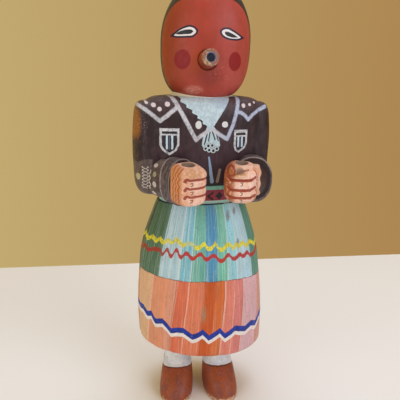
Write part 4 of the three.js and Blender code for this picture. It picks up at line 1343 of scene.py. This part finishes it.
class DOLL_OT_carve_figure(bpy.types.Operator):
    """Carve the one-piece figure and paint it"""

    bl_idname = "doll.carve_figure"
    bl_label = "Carve Figure"

    def execute(self, context):
        carving, paint = context.scene.doll_carving, context.scene.doll_paint
        step = carving.spacing / MM
        coats = finishes(paint)
        number = {name: i for i, name in enumerate(coats)}

        def belted(z):
            return np.where(z < JACKET_HEM_Z - 0.2, number["belt"], number["jacket"])

        forms = [
            ("torso", torso_form(carving, step), "jacket"),
            ("skirt", skirt_form(carving, step), "skirt"),
            ("neck", neck_form(step), "collar"),
            ("head", head_form(carving, step), "mask"),
        ]
        for side, word in ((-1, "right"), (1, "left")):
            forms += [
                (word + " leg", leg_form(side, carving, step), "leggings"),
                (word + " shoe", shoe_form(side, carving, step), "shoes"),
                (word + " upper arm", upper_arm_form(side, carving, step), "jacket"),
                (word + " sleeve", sleeve_form(side, carving, step), word + "_sleeve"),
                (word + " hand", hand_form(side, step), word + "_hand"),
                (word + " fist", fist_form(side, carving, step * 0.8), word + "_hand"),
            ]
        figure = None
        for name, points, finish in forms:
            rows = belted if name == "torso" else None
            part = placed(name, closed_mesh(name, points, number[finish], rows), coats.values())
            figure = part if figure is None else combined(figure, part, "UNION")
        socket = tube(-MOUTH_SOCKET - FIT_GAP, MOUTH_LENGTH, *(2 * (MOUTH_RADII[0] + FIT_GAP,)))
        for name, points, finish in (
            ("socket", socket, "mask"),
            ("right bore", bore_form(-1), "right_hand"),
            ("left bore", bore_form(1), "left_hand"),
        ):
            cutter = placed(name, closed_mesh(name, points, number[finish]), coats.values())
            figure = combined(figure, cutter, "DIFFERENCE")
        figure.name = figure.data.name = "painted_figure"
        checked(figure)
        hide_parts("carved_figure")
        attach(figure, "root")
        return {"FINISHED"}


class DOLL_OT_set_mouth(bpy.types.Operator):
    """Turn the tube mouth and set it in the mask"""

    bl_idname = "doll.set_mouth"
    bl_label = "Set Mouth Tube"

    def execute(self, context):
        coat = mouth_finish(context.scene.doll_paint)
        points = tube(-MOUTH_SOCKET, MOUTH_LENGTH, *MOUTH_RADII, rounding=0.7, rings=30)
        points = points + outward(points) * (0.1 * waves(points * 4))[..., None]
        mouth = placed("tube_mouth", closed_mesh("tube_mouth", points), [coat])
        radii = (MOUTH_BORE_RADIUS * 0.9, MOUTH_BORE_RADIUS * 1.05)
        bore = tube(MOUTH_LENGTH - MOUTH_BORE_DEPTH, MOUTH_LENGTH + 2, *radii, sides=40)
        combined(mouth, placed("bore", closed_mesh("bore", bore), [coat]), "DIFFERENCE")
        checked(mouth)
        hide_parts("mouth_tube")
        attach(mouth, "root")
        return {"FINISHED"}


class DOLL_OT_light_stage(bpy.types.Operator):
    """Lay the pale floor, hang the lights and place the camera"""

    bl_idname = "doll.light_stage"
    bl_label = "Light Stage"

    def execute(self, context):
        scene, stage = context.scene, context.scene.doll_stage
        floor_material = bpy.data.materials.new("pale_floor")
        floor_material.use_nodes = True
        shader = floor_material.node_tree.nodes["Principled BSDF"]
        shader.inputs["Base Color"].default_value = rgba(stage.floor)
        shader.inputs["Roughness"].default_value = FLOOR_ROUGHNESS
        mesh = bpy.data.meshes.new("floor")
        side, front, back = FLOOR_EDGES
        mesh.from_pydata([(-side, front, 0), (side, front, 0), (side, back, 0), (-side, back, 0)], [], [(0, 1, 2, 3)])
        placed("floor", mesh, [floor_material])
        world = scene.world or bpy.data.worlds.new("surround")
        scene.world = world
        world.use_nodes = True
        background = world.node_tree.nodes["Background"]
        background.inputs["Strength"].default_value = SURROUND_STRENGTH
        nodes, links = world.node_tree.nodes, world.node_tree.links
        place, parts = nodes.new("ShaderNodeTexCoord"), nodes.new("ShaderNodeSeparateXYZ")
        across, blend = nodes.new("ShaderNodeMapRange"), nodes.new("ShaderNodeMix")
        for name, value in zip(("From Min", "From Max"), SURROUND_SPAN):
            across.inputs[name].default_value = value
        blend.data_type = "RGBA"
        blend.inputs[6].default_value = rgba(stage.surround)
        blend.inputs[7].default_value = rgba(stage.surround_right)
        links.new(place.outputs["Generated"], parts.inputs[0])
        links.new(parts.outputs[0], across.inputs["Value"])
        links.new(across.outputs[0], blend.inputs[0])
        links.new(blend.outputs[2], background.inputs["Color"])
        for name, spot, size, power, shade in LAMPS:
            lamp = bpy.data.lights.new(name, "AREA")
            lamp.size, lamp.energy, lamp.color = size, power, tint(shade)
            light = bpy.data.objects.new(name, lamp)
            light.location = spot
            light.rotation_mode = "QUATERNION"
            light.rotation_quaternion = (Vector(LAMPS_AIM) - Vector(spot)).to_track_quat("-Z", "Y")
            scene.collection.objects.link(light)
        scene.view_settings.view_transform = "Standard"
        azimuth, pitch, roll = (math.radians(turn) for turn in (VIEW_AZIMUTH, VIEW_PITCH, VIEW_ROLL))
        ahead = Vector((-math.sin(azimuth) * math.cos(pitch), math.cos(azimuth) * math.cos(pitch), -math.sin(pitch)))
        level = Vector((math.cos(azimuth), math.sin(azimuth), 0))
        upright = level.cross(ahead)
        across = math.cos(roll) * level + math.sin(roll) * upright
        above = -math.sin(roll) * level + math.cos(roll) * upright
        camera = bpy.data.objects.new("camera", bpy.data.cameras.new("camera"))
        camera.data.lens, camera.data.sensor_width, camera.data.clip_start = stage.lens, SENSOR_WIDTH, CLIP_START
        x = AXIS[0] * MM + stage.distance * math.sin(azimuth)
        y = AXIS[1] * MM - stage.distance * math.cos(azimuth)
        turn = Matrix((across, above, -ahead)).transposed().to_4x4()
        camera.matrix_world = Matrix.Translation((x, y, stage.height)) @ turn
        scene.collection.objects.link(camera)
        scene.camera = camera
        return {"FINISHED"}


class DOLL_PT_workbench(bpy.types.Panel):
    bl_label = "Kachina Doll"
    bl_idname = "DOLL_PT_workbench"
    bl_space_type = "VIEW_3D"
    bl_region_type = "UI"
    bl_category = "Doll"

    def draw(self, context):
        for operator in OPERATORS:
            self.layout.operator(operator.bl_idname)
        for group in (context.scene.doll_carving, context.scene.doll_paint, context.scene.doll_stage):
            column = self.layout.column()
            for name in group.__annotations__:
                column.prop(group, name)


OPERATORS = (DOLL_OT_carve_figure, DOLL_OT_set_mouth, DOLL_OT_light_stage)
SETTINGS = {"doll_carving": DollCarving, "doll_paint": DollPaint, "doll_stage": DollStage}
CLASSES = (*SETTINGS.values(), *OPERATORS, DOLL_PT_workbench)


def register():
    for kind in CLASSES:
        bpy.utils.register_class(kind)
    for name, kind in SETTINGS.items():
        setattr(bpy.types.Scene, name, PointerProperty(type=kind))


def unregister():
    for name in SETTINGS:
        delattr(bpy.types.Scene, name)
    for kind in reversed(CLASSES):
        bpy.utils.unregister_class(kind)


def main():
    register()
    bpy.ops.doll.light_stage()
    bpy.ops.doll.carve_figure()
    bpy.ops.doll.set_mouth()


if __name__ == "__main__":
    main()
